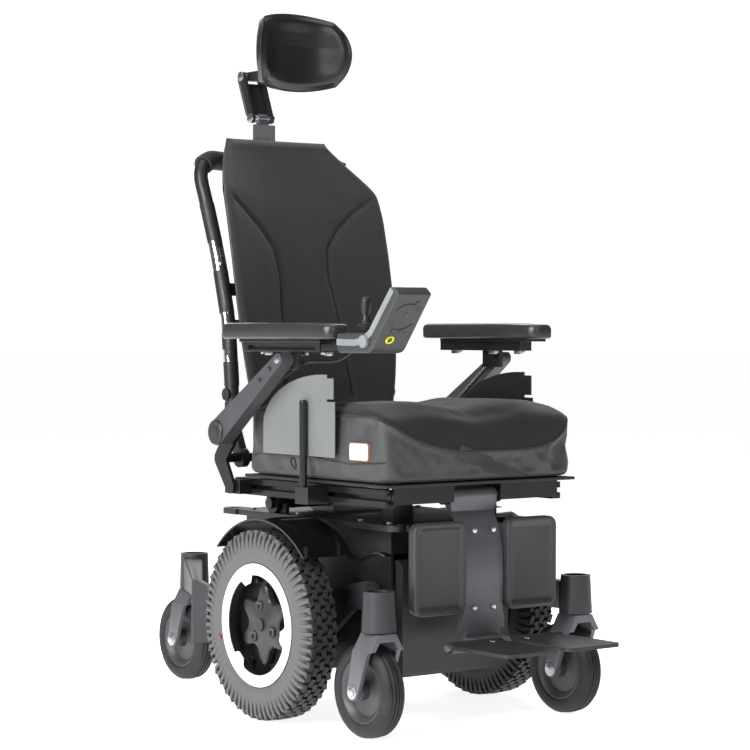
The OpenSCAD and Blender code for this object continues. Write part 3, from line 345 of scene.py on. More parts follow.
finish = {
    "frameBlack": coated("frameBlack", (0.012, 0.012, 0.014), 0.34),
    "boxBlack": coated("boxBlack", (0.022, 0.023, 0.026), 0.42, grain=500, depth=0.0002),
    "shroud": coated("shroud", (0.006, 0.006, 0.007), 0.12, grain=60, depth=0.0001, Coat_Weight=0.5),
    "batteryGrey": coated("batteryGrey", (0.07, 0.075, 0.08), 0.5),
    "finGrey": coated("finGrey", (0.1, 0.105, 0.11), 0.38, metallic=0.7),
    "motorBlack": coated("motorBlack", (0.02, 0.02, 0.023), 0.4, grain=500, depth=0.0002),
    "rimBlack": coated("rimBlack", (0.011, 0.011, 0.012), 0.32),
    "capBlack": coated("capBlack", (0.026, 0.026, 0.028), 0.36, grain=700),
    "ringWhite": coated("ringWhite", (0.86, 0.87, 0.88), 0.3, mottle=0.03),
    # the last number is the |x| where the tyre wall's painted highlight begins
    "tyreGrey": tyreRubber("tyreGrey", (0.022, 0.022, 0.024), 0.02, 0.2535),
    "casterTyre": tyreRubber("casterTyre", (0.014, 0.014, 0.016), 0.014),
    "forkGrey": coated("forkGrey", (0.12, 0.125, 0.135), 0.36, metallic=0.2),
    "housingGrey": coated("housingGrey", (0.03, 0.031, 0.035), 0.42),
    "casterRim": coated("casterRim", (0.05, 0.052, 0.055), 0.4),
    "railBlack": coated("railBlack", (0.014, 0.014, 0.016), 0.22, grain=400, metallic=0.35),
    "panBlack": coated("panBlack", (0.012, 0.012, 0.013), 0.5),
    # pale outer face; the inner face is black as painted shade
    "guard": paleOutsideShadedInside("guard", (0.16, 0.167, 0.17), (0.01, 0.01, 0.011), 0.2095),
    "postBlack": coated("postBlack", (0.009, 0.009, 0.01), 0.2),
    "cableBlack": coated("cableBlack", (0.01, 0.01, 0.011), 0.45),
    "foam": coated("foam", (0.014, 0.014, 0.015), 0.75, grain=350, depth=0.0006),
    "shellBlack": coated("shellBlack", (0.01, 0.01, 0.011), 0.4, grain=420, depth=0.0003),
    "swingGrey": coated("swingGrey", (0.05, 0.052, 0.056), 0.4, grain=600),
    "bracketBlack": coated("bracketBlack", (0.016, 0.016, 0.018), 0.3, metallic=0.3),
    "urethane": coated("urethane", (0.03, 0.031, 0.033), 0.24, grain=420, depth=0.0003, mottle=0.05),
    "joyCase": coated("joyCase", (0.04, 0.042, 0.044), 0.42, grain=480, depth=0.0003),
    "joyTrim": coated("joyTrim", (0.22, 0.23, 0.235), 0.4, grain=480, depth=0.0002),
    "boot": coated("boot", (0.012, 0.012, 0.013), 0.42, grain=500),
    "columnGrey": coated("columnGrey", (0.12, 0.125, 0.135), 0.34, grain=500, metallic=0.25),
    "calfGrey": coated("calfGrey", (0.036, 0.038, 0.041), 0.38, grain=330, depth=0.0004, mottle=0.06),
    "plateBlack": coated("plateBlack", (0.02, 0.02, 0.022), 0.48, grain=260, depth=0.0006),
    "yellow": coated("yellow", (0.75, 0.72, 0.02), 0.35),
    "red": coated("red", (0.35, 0.01, 0.02), 0.35),
    "patch": coated("patch", (0.7, 0.68, 0.64), 0.4),
    "copper": coated("copper", (0.5, 0.26, 0.16), 0.35, metallic=0.6),
    "silver": brushed("silver", (0.62, 0.63, 0.65), 0.26, "Z"),
    "zinc": brushed("zinc", (0.55, 0.56, 0.58), 0.32, "X"),
    "chrome": brushed("chrome", (0.82, 0.83, 0.85), 0.08, "Z"),
    "barGrey": brushed("barGrey", (0.36, 0.37, 0.39), 0.3, "Z"),
    "backFabric": spacerMesh("backFabric", (0.015, 0.014, 0.016), 0.0042),
    "seamFabric": knitFabric("seamFabric", (0.012, 0.012, 0.013), 0.2, 0.0016),
    "cover": cushionCover("cover", (0.007, 0.007, 0.008), (0.04, 0.04, 0.044)),
    "nylon": knitFabric("nylon", (0.036, 0.036, 0.04), 0.12, 0.0012),
    "vinyl": vinyl("vinyl", (0.008, 0.008, 0.009)),
}
print("materials made", len(finish))


# Making pieces

def finished(name, bm, body, slotName, looks, replaces=(), sharp=32, weighted=False):
    bmesh.ops.remove_doubles(bm, verts=bm.verts, dist=1e-6)
    for face in bm.faces:
        face.smooth = True
    for edge in bm.edges:
        edge.smooth = edge.is_manifold and edge.calc_face_angle(0) < math.radians(sharp)
    mesh = bpy.data.meshes.new(name)
    bm.to_mesh(mesh)
    bm.free()
    for look in looks if isinstance(looks, (list, tuple)) else [looks]:
        mesh.materials.append(finish[look])
    piece = linked(name, mesh)
    if weighted:
        evened = piece.modifiers.new("evened", "WEIGHTED_NORMAL")
        evened.keep_sharp = True
    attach(piece, body)
    if replaces:
        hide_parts(*replaces)
    return piece


def outwards(bm):
    bmesh.ops.recalc_face_normals(bm, faces=bm.faces)


def rounded(bm, edges, size, segments=2, clamp=False):
    bmesh.ops.bevel(bm, geom=edges, offset=size, offset_type="OFFSET", affect="EDGES", segments=segments,
                    profile=0.5, material=-1, clamp_overlap=clamp)


def edgesAlong(bm, axis):   # axis is 0, 1 or 2
    return [e for e in bm.edges if abs((e.verts[0].co - e.verts[1].co).normalized()[axis]) > 0.9]


def edgesOf(verts):   # each edge once, always in the same order
    return list(dict.fromkeys(e for v in verts for e in v.link_edges))


def extruded(bm, faces):   # the new points, still in their old places
    made = bmesh.ops.extrude_face_region(bm, geom=faces)
    return [v for v in made["geom"] if isinstance(v, bmesh.types.BMVert)]


def settledMesh(holder):   # the mesh that an object's modifiers make
    return bpy.data.meshes.new_from_object(holder.evaluated_get(bpy.context.evaluated_depsgraph_get()))


def softened(node, look, width=0.0009):   # a CAD part with its sharp edges rounded
    source = frame["nodes"][node]
    bm = bmesh.new()
    bm.from_mesh(source.data)
    bmesh.ops.remove_doubles(bm, verts=bm.verts, dist=2e-5)
    bmesh.ops.dissolve_limit(bm, angle_limit=math.radians(1.2), verts=bm.verts, edges=bm.edges)
    edges = [e for e in bm.edges if e.is_manifold and e.calc_face_angle(0) > math.radians(38)]
    rounded(bm, edges, width, 2, clamp=True)
    slots = {s["node"]: s["material_slot"] for s in frame["record"]["subparts"]}
    finished(node + ".look", bm, source["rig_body"], slots[node], look, [node], weighted=True)


def turned(profile, centre, axis="X", steps=64, bm=None):   # a closed [radius, along] outline, spun
    bm = bm or bmesh.new()
    ways = {"X": (Vector((1, 0, 0)), Vector((0, 0, 1))), "Y": (Vector((0, 1, 0)), Vector((0, 0, 1))),
            "Z": (Vector((0, 0, 1)), Vector((1, 0, 0)))}
    along, out = ways[axis]
    verts = [bm.verts.new(centre + along * (a / 1000) + out * (r / 1000)) for r, a in profile]
    edges = [bm.edges.new((verts[i], verts[(i + 1) % len(verts)])) for i in range(len(verts))]
    bmesh.ops.spin(bm, geom=verts + edges, cent=centre, axis=along, angle=math.tau, steps=steps,
                   use_merge=True, use_duplicate=False)
    bmesh.ops.remove_doubles(bm, verts=bm.verts, dist=1e-6)
    outwards(bm)
    return bm


def roundBar(bm, start, end, radius, segments=24, bevel=0.0):
    way = end - start
    verts = bmesh.ops.create_cone(bm, cap_ends=True, cap_tris=False, segments=segments, radius1=radius,
                                  radius2=radius, depth=way.length)["verts"]
    turn = way.to_track_quat("Z", "Y").to_matrix().to_4x4()
    bmesh.ops.transform(bm, matrix=Matrix.Translation((start + end) / 2) @ turn, verts=verts)
    if bevel:
        rims = [e for e in edgesOf(verts) if e.is_manifold and e.calc_face_angle(0) > 0.9]
        rounded(bm, rims, bevel, 2, clamp=True)
    return verts


def block(bm, low, high, bevel=0.0015, turn=None, pivot=None):
    verts = bmesh.ops.create_cube(bm, size=1)["verts"]
    bmesh.ops.scale(bm, vec=high - low, verts=verts)
    bmesh.ops.translate(bm, vec=(low + high) / 2, verts=verts)
    if turn is not None:
        bmesh.ops.rotate(bm, cent=pivot or (low + high) / 2, matrix=turn, verts=verts)
    if bevel:
        rounded(bm, edgesOf(verts), bevel, clamp=True)
    return verts


def slab(bm, outline, thickness, place):   # an outline of points, filled and given a thickness along a vector
    verts = [bm.verts.new(place(*p)) for p in outline]
    face = bm.faces.new(verts)
    bmesh.ops.translate(bm, vec=thickness, verts=extruded(bm, [face]))
    return face


def tube(name, route, radius, body, slotName, look):   # a cord or piping with eight sides
    curve = bpy.data.curves.new(name, "CURVE")
    curve.dimensions = "3D"
    curve.bevel_depth = radius
    curve.bevel_resolution = 2
    curve.use_fill_caps = True
    line = curve.splines.new("NURBS")
    line.points.add(len(route) - 1)
    for point, place in zip(line.points, route):
        point.co = (*place, 1)
    line.use_endpoint_u = True
    line.order_u = 3
    line.resolution_u = 4
    holder = linked(name + ".curve", curve)
    bpy.context.view_layer.update()
    solid = settledMesh(holder)
    bm = bmesh.new()
    bm.from_mesh(solid)
    bpy.data.objects.remove(holder)
    bpy.data.meshes.remove(solid)
    bmesh.ops.remove_doubles(bm, verts=bm.verts, dist=1e-6)
    outwards(bm)
    finished(name, bm, body, slotName, look, sharp=60)


def mirrored(bm):
    bmesh.ops.scale(bm, vec=(-1, 1, 1), verts=bm.verts)
    bmesh.ops.reverse_faces(bm, faces=bm.faces)
    return bm


def bothSides(make):   # right is the mirror image of left
    for side in ("left", "right"):
        made = make(side)
        if side == "right":
            mirrored(made[1])
        finished(made[0], *made[1:])


# Drive wheels

wheelSet = {"x": 230, "r": 158, "seat": 105, "rows": [-20, -10, 0, 10, 20], "blocks": 46, "lugs": 72,
            "ringOut": 102, "ringIn": 83, "bolts": 3}


def driveTyre(side):
    s = wheelSet
    hub = at(s["x"], 0, s["r"])
    base = s["r"] - 7
    profile = [(s["seat"], -26), (110, -28), (118, -29.5), (130, -29), (139, -27), (146, -24), (base, -17),
               (base + 0.5, 0), (base, 17), (146, 24), (139, 27), (130, 29), (121, 29.6), (119.5, 29.2),
               (118, 29.4), (110, 28.5), (104, 27), (s["seat"], 25)]
    bm = turned(profile, hub, "X", 96)
    for row, x in enumerate(s["rows"]):
        for k in range(s["blocks"]):
            angle = math.tau * (k + 0.5 * (row % 2)) / s["blocks"]
            low = Vector((x - 4.3, -7.6, base - 3)) / 1000
            high = Vector((x + 4.3, 7.6, s["r"] - 0.15 - 0.02 * x * x / 10)) / 1000
            tilt = Matrix.Rotation((0.35 if row % 2 else -0.35), 3, "Z")
            verts = block(bm, low, high, 0.0, tilt)
            turn = Matrix.Rotation(angle, 4, "X")
            bmesh.ops.transform(bm, matrix=Matrix.Translation(hub) @ turn, verts=verts)
    for k in range(s["lugs"]):   # lugs over both shoulders
        angle = math.tau * k / s["lugs"]
        for way in (-1, 1):
            outline = [(24.0, 141), (29.7, 128), (29.9, 141), (28.4, 150), (24, 156), (21, 151)]
            face = slab(bm, outline, Vector((0, 0.0056, 0)),
                        lambda a, b: Vector((way * a / 1000, -0.0028, b / 1000)))
            corners = set(face.verts)
            lug = corners | {e.other_vert(v) for v in corners for e in v.link_edges}
            turn = Matrix.Rotation(angle, 4, "X")
            bmesh.ops.transform(bm, matrix=Matrix.Translation(hub) @ turn, verts=list(lug))
    outwards(bm)
    return ["drive_tyre_" + side + ".look", bm, "drive_wheel_" + side, "tyre_grey", "tyreGrey",
            ["drive_tyre_" + side]]


def driveRim(side):
    s = wheelSet
    hub = at(s["x"], 0, s["r"])
    profile = [(96, -24), (104.8, -24), (104.8, 26), (82, 26), (82, 14), (94, 12), (94, -8), (30, -8),
               (30, -20), (11.2, -20), (11.2, 10), (30, 10), (34, -2), (96, -2)]
    bm = turned(profile, hub, "X", 72)
    for k in range(s["bolts"]):   # bolts in the dark recess
        a = math.tau * k / s["bolts"] + 0.4
        place = hub + Vector((0.001, 0.078 * math.sin(a), 0.078 * math.cos(a)))
        roundBar(bm, place - Vector((0.004, 0, 0)), place + Vector((0.006, 0, 0)), 0.0062, 20, bevel=0.001)
    outwards(bm)
    return ["drive_rim_" + side + ".look", bm, "drive_wheel_" + side, "rim_black", "rimBlack",
            ["drive_rim_" + side]]


def rimRing(side):   # pale ring with three inward tabs
    s = wheelSet
    hub = at(s["x"], 0, s["r"])
    bm = bmesh.new()
    count = 120
    inner, outer = [], []
    for k in range(count):
        a = math.tau * k / count
        spread = [abs((a - math.tau * t / 3 - 2.45 + math.pi) % math.tau - math.pi) for t in range(3)]
        reach = max(0.0, min(1.0, (0.2 - min(spread)) / 0.07))
        r = s["ringIn"] - 13 * reach
        way = Vector((0, math.sin(a), math.cos(a)))
        outer.append(bm.verts.new(hub + Vector((0.0268, 0, 0)) + way * s["ringOut"] / 1000))
        inner.append(bm.verts.new(hub + Vector((0.0262, 0, 0)) + way * r / 1000))
    for k in range(count):
        j = (k + 1) % count
        bm.faces.new((outer[k], outer[j], inner[j], inner[k]))
    outwards(bm)
    if sum(f.normal.x for f in bm.faces) < 0:
        bmesh.ops.reverse_faces(bm, faces=bm.faces)
    bmesh.ops.translate(bm, vec=(0.0012, 0, 0), verts=extruded(bm, bm.faces[:]))
    outwards(bm)
    return ["rim_ring_" + side, bm, "drive_wheel_" + side, "rim_black", "ringWhite"]


def starCap(side):
    s = wheelSet
    hub = at(s["x"], 0, s["r"])
    bm = bmesh.new()
    count = 96
    rings = []
    for share, out in ((1, 0.002), (1, 0.011), (0.94, 0.0135), (0.72, 0.0145), (0.45, 0.016), (0.2, 0.0185)):
        ring = []
        for k in range(count):   # six blunt points round a wide middle
            a = math.tau * k / count
            point = (0.5 + 0.5 * math.cos(6 * a)) ** 1.6
            r = (44 + 24 * point) * share if share > 0.5 else 51 * share
            ring.append(bm.verts.new(hub + Vector((out, r * math.sin(a) / 1000, r * math.cos(a) / 1000))))
        rings.append([bm.edges.new((ring[k], ring[(k + 1) % count])) for k in range(count)])
    for low, high in zip(rings, rings[1:]):
        bmesh.ops.bridge_loops(bm, edges=low + high)
    bmesh.ops.holes_fill(bm, edges=bm.edges, sides=0)
    outwards(bm)
    for k in range(3):   # ring-shaped bolt heads
        a = math.tau * k / 3 + 0.2
        place = hub + Vector((0.0175, 0.031 * math.sin(a), 0.031 * math.cos(a)))
        turned([(3.2, -3), (3.2, 0.2), (5.4, 1.2), (8, 1.2), (9, 0), (9, -3)], place, "X", 28, bm)
    outwards(bm)
    return ["star_cap_" + side, bm, "drive_wheel_" + side, "rim_black", "capBlack"]


def tyreMark(side):   # a small red dot on the tyre wall
    s = wheelSet
    hub = at(s["x"], 0, s["r"])
    bm = bmesh.new()
    place = hub + Vector((0.0285, 0.106, -0.03))
    roundBar(bm, place, place + Vector((0.0014, 0, 0)), 0.0042, 18, bevel=0.0004)
    return ["tyre_mark_" + side, bm, "drive_wheel_" + side, "tyre_grey", "red"]


for maker in (driveTyre, driveRim, rimRing, starCap, tyreMark):
    bothSides(maker)
print("drive wheels made")


# Casters

casterSet = {"front": (207, -270), "rear": (100, 435), "trail": 26, "r": 76}


def casterPieces(side, end):
    c = casterSet
    x, y = c[end]
    hub = at(x, y + c["trail"], c["r"])
    grooves = []
    for g in (-9, -3, 3, 9):
        crown = 75.6 - 0.02 * g * g
        grooves += [(crown, g - 1.1), (73.2, g - 0.5), (73.2, g + 0.5), (crown, g + 1.1)]
    wall = [(52, 16), (54, 18.6), (60, 19.8), (67, 19), (72.5, 15.5), (74.6, 12.2)]
    bm = turned([(r, -a) for r, a in wall] + grooves + wall[::-1], hub, "X", 96)
    name = end + "_caster_tyre_" + side
    yield [name + ".look", bm, end + "_caster_" + side, "caster_tyre_grey", "casterTyre", [name]]
    disc = [(6.2, 24), (12, 24), (14, 22), (15, 9), (22, 6), (40, 6), (44, 13), (50, 16.5), (52.5, 16)]
    rim = turned([(r, -a) for r, a in disc] + disc[::-1], hub, "X", 72)
    name = end + "_caster_rim_" + side
    yield [name + ".look", rim, end + "_caster_" + side, "caster_rim_grey", "casterRim", [name]]
    bolts = bmesh.new()
    for way in (-1, 1):
        centre = hub + Vector((way * 0.0335, 0, 0))
        roundBar(bolts, centre, centre + Vector((way * 0.0045, 0, 0)), 0.0085, 6, bevel=0.0008)
        roundBar(bolts, centre - Vector((way * 0.001, 0, 0)), centre + Vector((way * 0.0015, 0, 0)), 0.0115,
                 28, bevel=0.0004)
    outwards(bolts)
    yield [end + "_axle_bolts_" + side, bolts, end + "_fork_" + side, "fork_grey", "zinc"]


for end in ("front", "rear"):
    for side in ("left", "right"):
        for made in casterPieces(side, end):
            if side == "right":
                mirrored(made[1])
            finished(made[0], *made[1:])
        softened(end + "_fork_" + side, "forkGrey", 0.0016)
print("casters made")


# Hard parts that keep their CAD shape

plainParts = {
    "chassis_frame": "frameBlack", "battery_box": "boxBlack", "power_module": "finGrey", "fenders": "shroud",
    "drive_arm_left": "housingGrey", "drive_arm_right": "housingGrey",
    "gearmotor_left": "motorBlack", "gearmotor_right": "motorBlack",
    "rear_arm_left": "housingGrey", "rear_arm_right": "housingGrey", "tilt_drive": "zinc",
    "seat_frame": "railBlack", "seat_pan": "panBlack", "skirt_guards": "guard", "guard_posts": "postBlack",
    "recline_drive": "zinc", "back_frame": "frameBlack", "back_shell": "shellBlack",
    "headrest_bar": "barGrey", "headrest_link": "frameBlack",
    "swing_arm_left": "swingGrey", "swing_arm_right": "swingGrey",
    "arm_bracket_left": "bracketBlack", "arm_bracket_right": "bracketBlack",
    "legrest_column": "columnGrey", "footplate_left": "plateBlack", "footplate_right": "plateBlack",
    "joystick_gimbal": "zinc", "joystick_key": "joyTrim", "speed_knob": "joyTrim",
    "push_grip": "foam", "seat_cable": "cableBlack", "joystick_lead": "cableBlack",
    "batteries": "batteryGrey",
}
for node, look in plainParts.items():
    softened(node, look)
print("hard parts softened")


# Soft goods

def denseMesh(bm, voxel):   # an even skin over a closed shape
    mesh = bpy.data.meshes.new("dense")
    bm.to_mesh(mesh)
    bm.free()
    holder = linked("dense", mesh)
    remesh = holder.modifiers.new("remesh", "REMESH")
    remesh.mode = "VOXEL"
    remesh.voxel_size = voxel
    bpy.context.view_layer.update()
    solid = settledMesh(holder)
    bpy.data.objects.remove(holder)
    made = bmesh.new()
    made.from_mesh(solid)
    bpy.data.meshes.remove(solid)
    return made


def swollen(bm, pressure, cap, held):   # cloth filled with air, each point moving at most cap
    mesh = bpy.data.meshes.new("swell")
    bm.to_mesh(mesh)
    holder = linked("swell", mesh)
    cloth = holder.modifiers.new("cloth", "CLOTH")
    cloth.settings.quality = 5
    cloth.settings.mass = 0.3
    cloth.settings.tension_stiffness = 25
    cloth.settings.compression_stiffness = 25
    cloth.settings.shear_stiffness = 10
    cloth.settings.bending_stiffness = 1.5
    cloth.settings.use_pressure = True
    cloth.settings.uniform_pressure_force = pressure
    cloth.settings.effector_weights.gravity = 0
    cloth.collision_settings.use_collision = False
    group = holder.vertex_groups.new(name="held")
    group.add([v.index for v in bm.verts if held(v.co)], 1.0, "ADD")
    cloth.settings.vertex_group_mass = "held"
    cloth.point_cache.frame_start = 1
    cloth.point_cache.frame_end = 20
    for step in range(1, 21):
        bpy.context.scene.frame_set(step)
    solid = settledMesh(holder)
    bm.verts.ensure_lookup_table()
    for vert, moved in zip(bm.verts, solid.vertices):
        way = moved.co - vert.co
        if way.length > cap:
            way = way.normalized() * cap
        vert.co = vert.co + way
    bpy.context.scene.frame_set(1)
    bpy.data.objects.remove(holder)
    bpy.data.meshes.remove(solid)
    return bm


def smoothStep(value, low, high):
    t = max(0.0, min(1.0, (value - low) / (high - low)))
    return t * t * (3 - 2 * t)


cushionSet = {"half": 199, "front": -277, "back": 120, "low": 402.5, "high": 524, "corner": 26, "edge": 13,
              "hemSide": 510, "hemFront": 450, "pressure": 1.6, "cap": 0.0045, "voxel": 0.0045, "fold": 6.4}


def cushionTop(x, y):   # how far the seat's top stands above or below its mean height, in millimetres
    across = abs(x) / 205
    length = smoothStep(y, -283, -40)
    thigh = 6 * math.exp(-((abs(x) - 105) / 52) ** 2) * (1 - smoothStep(y, -150, 60))
    between = -5 * math.exp(-(x / 40) ** 2) * (1 - smoothStep(y, -170, 30))
    seat = -15 * math.exp(-(x / 120) ** 2 - ((y - 10) / 95) ** 2)
    side = 4 * smoothStep(across, 0.62, 0.85) * length
    nose = -17 * (1 - smoothStep(y, -283, -190)) ** 1.7
    back = -14 * smoothStep(y, 40, 125)
    return -4 + thigh + between + seat + side + nose + back


def hemHeight(x, y):   # the seam between the stretch top and the woven sides
    s = cushionSet
    lift = smoothStep(y, -272, -235)
    front = s["hemFront"] + (s["hemSide"] - s["hemFront"]) * (abs(x) / 205) ** (2.6 if x < 0 else 5)
    return front + (s["hemSide"] - front) * lift


def seatCushion():
    s = cushionSet
    bm = bmesh.new()
    block(bm, at(-s["half"], s["front"], s["low"]), at(s["half"], s["back"], s["high"]), 0.0)
    upright = edgesAlong(bm, 2)
    rounded(bm, upright, s["corner"] / 1000, 6)
    rims = [e for e in bm.edges if abs((e.verts[0].co - e.verts[1].co).normalized().z) < 0.1
            and abs(e.calc_face_angle(0)) > 1.2]
    rounded(bm, rims, s["edge"] / 1000, 4)
    bm = denseMesh(bm, s["voxel"])
    bm.normal_update()
    for vert in bm.verts:
        x, y, z = inMillimetres(vert.co)
        share = smoothStep(z, 430, 518)
        vert.co.z += cushionTop(x, y) * share / 1000
    bm = swollen(bm, s["pressure"], s["cap"], lambda co: co.z < 0.409)
    bmesh.ops.smooth_vert(bm, verts=bm.verts, factor=0.5, use_axis_x=True, use_axis_y=True, use_axis_z=True)
    bm.normal_update()
    for vert in bm.verts:   # folds and gathers in the woven sides, and a soft waist under the hem
        x, y, z = inMillimetres(vert.co)
        hem = hemHeight(x, y)
        if abs(vert.normal.z) > 0.6:
            continue
        below = smoothStep(hem - z, 2, 14) * smoothStep(z, 404, 420)
        run = x if y < -250 else y
        gather = abs(math.sin(run / 9.5 + 2.6 * noise.noise(Vector((x, y, z)) / 60))) ** 0.6 * -1.4 + 0.7
        near = math.exp(-max(0, hem - z) / 30)
        big = noise.noise(Vector((x / 34, y / 34, z / 60 + 3)))
        slant = noise.noise(Vector(((x + y + 0.9 * z) / 16, (x - y) / 60, z / 50)))
        strength = 0.5 + 0.6 * smoothStep(x, -20, 150) if y < -250 else 0.35
        depth = below * (0.8 * near * gather * (0.45 + strength) + 1.5 * big + 0.9 * slant * strength - 0.8)
        depth *= 1 - math.exp(-((y + 214) / 34) ** 2 - ((z - 452) / 26) ** 2) if x < -150 else 1
        waist = -0.9 * math.exp(-((z - hem) / 3.0) ** 2)
        vert.co += vert.normal * (depth * s["fold"] * 0.6 + waist) / 1000
    low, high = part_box("seat_cushion")
    for vert in bm.verts:
        vert.co.z = max(vert.co.z, low.z + 0.0003)
        vert.co.x = max(low.x + 0.0003, min(high.x - 0.0003, vert.co.x))
        vert.co.y = max(low.y + 0.0003, min(high.y - 0.0003, vert.co.y))
    mask = bm.verts.layers.float.new("belowHem")
    for vert in bm.verts:
        x, y, z = inMillimetres(vert.co)
        vert[mask] = hemHeight(x, y) - z
    skin = bm.copy()
    piece = finished("seat_cushion.look", bm, "seat", "cushion_fabric", "cover", ["seat_cushion"], sharp=180)
    return skin


def onSkin(tree, x, y, z, lift=0.0):   # the nearest place on a piece's skin, in millimetres
    spot, normal = tree.find_nearest(at(x, y, z))[:2]
    return spot + normal * lift / 1000


def cushionTrim(skin):
    tree = BVHTree.FromBMesh(skin)
    ring = []
    for k in range(180):   # piping along the hem, all the way round
        a = math.tau * k / 180
        x, y = 204 * math.cos(a), -79 + 204 * math.sin(a)
        reach = max(abs(math.cos(a)), abs(math.sin(a)))
        x, y = x / reach * 0.985, -79 + (y + 79) / reach * 0.985
        ring.append(onSkin(tree, x, y, hemHeight(x, y), 0.4))
    ring.append(ring[0].copy())
    tube("seat_cushion_hem", ring, 0.0016, "seat", "cushion_fabric", "seamFabric")
    # Strap of cloth across the front, a blank patch, and the zip with its pull
    bm = bmesh.new()
    rows = []
    for k in range(33):
        t = k / 32
        x, z = -55 + 150 * t, 450 - 50 * t ** 1.15 - 4 * math.sin(math.pi * t)
        w = 11 - 3 * t
        rows.append([bm.verts.new(onSkin(tree, x + w * c * 0.5, -283, z + w * c, 1.5 - 1.2 * abs(c))) for c in
                     (-1, -0.6, 0, 0.6, 1)])
    for low, high in zip(rows, rows[1:]):
        for c in range(4):
            bm.faces.new((low[c], high[c], high[c + 1], low[c + 1]))
    bmesh.ops.translate(bm, vec=(0, 0.0022, 0), verts=extruded(bm, bm.faces[:]))
    outwards(bm)
    finished("seat_cushion_strap", bm, "seat", "cushion_fabric", "nylon", sharp=60)
    for name, look, grow, out in (("seat_patch_border", "copper", 1.6, 1.7), ("seat_patch", "patch", 0, 2.1)):
        bm = bmesh.new()
        spot = onSkin(tree, -205, -214, 452)
        block(bm, Vector((spot.x - out / 1000, spot.y - (24 + grow) / 1000, spot.z - (13 + grow) / 1000)),
              Vector((spot.x + 0.004, spot.y + (24 + grow) / 1000, spot.z + (13 + grow) / 1000)), 0.0)
        corners = edgesAlong(bm, 0)
        rounded(bm, corners, 0.004, 4)
        finished(name, bm, "seat", "cushion_fabric", look, sharp=50)
    route = [onSkin(tree, -205, -275 + 11 * k, 437 - 6 * math.sin(k / 5.0), 0.2) for k in range(35)]
    tube("seat_cushion_zip", route, 0.0014, "seat", "cushion_fabric", "seamFabric")
    loop = [onSkin(tree, -205, -24 + 6 * math.sin(a), 425 + 9 * math.cos(a), 1.0)
            for a in [math.tau * k / 24 for k in range(25)]]
    tube("seat_zip_pull", loop, 0.0009, "seat", "cushion_fabric", "cableBlack")


cushionTrim(seatCushion())
print("seat cushion made")

backSet = {"thick": 26, "power": 2.2, "puff": 8.0, "seamDepth": 5.5, "seamWidth": 4.5,
           "cols": 120, "rows": 170,
           "levels": [[506, 180, 148, 150], [560, 184, 153, 160], [620, 193, 160, 167], [700, 211, 172, 170],
                      [780, 232, 187, 170], [850, 254, 203, 169], [895, 270, 219, 166], [920, 280, 243, 152],
                      [945, 289, 268, 136], [970, 298, 290, 120], [990, 306, 303, 104]],
           "seam": [(510, 78), (600, 66), (690, 60), (740, 53), (790, 58), (828, 85), (858, 118), (893, 166)]}


def alongLevels(levels, z, k):
    if z <= levels[0][0]:
        return levels[0][k]
    for low, high in zip(levels, levels[1:]):
        if z <= high[0]:
            return low[k] + (high[k] - low[k]) * (z - low[0]) / (high[0] - low[0])
    return levels[-1][k]


def eased(levels, z, k, reach):   # the same line with its corners rounded
    return sum(alongLevels(levels, z + reach * t / 3, k) for t in range(-3, 4)) / 7


def paddedSheet(levels, thick, power, rows, cols, shape):   # a curved pad from its front face and thickness
    low, high = levels[0][0], levels[-1][0]
    bm = bmesh.new()
    bmesh.ops.create_grid(bm, x_segments=cols, y_segments=rows, size=1)
    for vert in bm.verts:
        vert.co = Vector((vert.co.x, 0, (vert.co.y + 1) / 2))
    rear = set(extruded(bm, bm.faces[:]))
    for vert in bm.verts:
        side, up = vert.co.x, vert.co.z
        z = low + (high - low) * up
        half = eased(levels, z, 3, 15) - 0.6
        x = side * half
        mid, edge = eased(levels, z, 1, 7), eased(levels, z, 2, 7)
        y = mid - (mid - edge) * abs(side) ** power
        round_ = max(0.0, 1 - ((1 - abs(side)) * half / (thick * 0.5))) ** 2
        ends = max(0.0, 1 - min(z - low, high - z) / (thick * 0.5)) ** 2
        pull = min(1.0, round_ + ends) * thick * 0.42
        if vert in rear:
            vert.co = at(x, y + thick - pull, z)
        else:
            vert.co = at(x, y + pull + shape(x, z, half), z)
    outwards(bm)
    return bm


def backShape(x, z, half):   # hollows along the seams and swelling between them
    s = backSet
    seam = s["seam"]
    if z < 893:
        line = eased(seam, z, 1, 9)
        slope = (eased(seam, z + 4, 1, 9) - eased(seam, z - 4, 1, 9)) / 8
        gap = abs(abs(x) - line) / math.sqrt(1 + slope * slope)
        seamDip = s["seamDepth"] * math.exp(-(gap / s["seamWidth"]) ** 2)
        swell = s["puff"] * (1 - math.exp(-(gap / 22) ** 2)) * smoothStep(893 - z, 0, 30)
        outer = 1.0 if abs(x) > line else 0.35
    else:
        seamDip, swell, outer = 0.0, 0.0, 0.35
    edge = smoothStep(half - abs(x), 0, 24) * smoothStep(z, 506, 530) * smoothStep(990 - z, 0, 22)
    wrinkle = 0.5 * noise.noise(Vector((x / 40, 0, z / 70)))
    return (2.6 + seamDip - (swell * outer * 0.42 + wrinkle)) * edge


def backCushion():
    s = backSet
    bm = paddedSheet(s["levels"], s["thick"], s["power"], s["rows"], s["cols"], backShape)
    skin = bm.copy()
    piece = finished("back_cushion.look", bm, "back", "back_fabric", "backFabric", ["back_cushion"],
                     sharp=180)
    tree = BVHTree.FromBMesh(skin)
    for side in (-1, 1):   # stitched seams
        route = []
        for k in range(64):
            z = 512 + (890 - 512) * k / 63
            x = side * eased(s["seam"], z, 1, 9)
            spot = tree.ray_cast(at(x, 100, z), Vector((0, 1, 0)))[0]
            if spot:
                route.append(spot + Vector((0, 0.0002, 0)))
        name = "back_seam_" + ("left" if side > 0 else "right")
        tube(name, route, 0.0011, "back", "back_fabric", "seamFabric")


backCushion()
print("back cushion made")

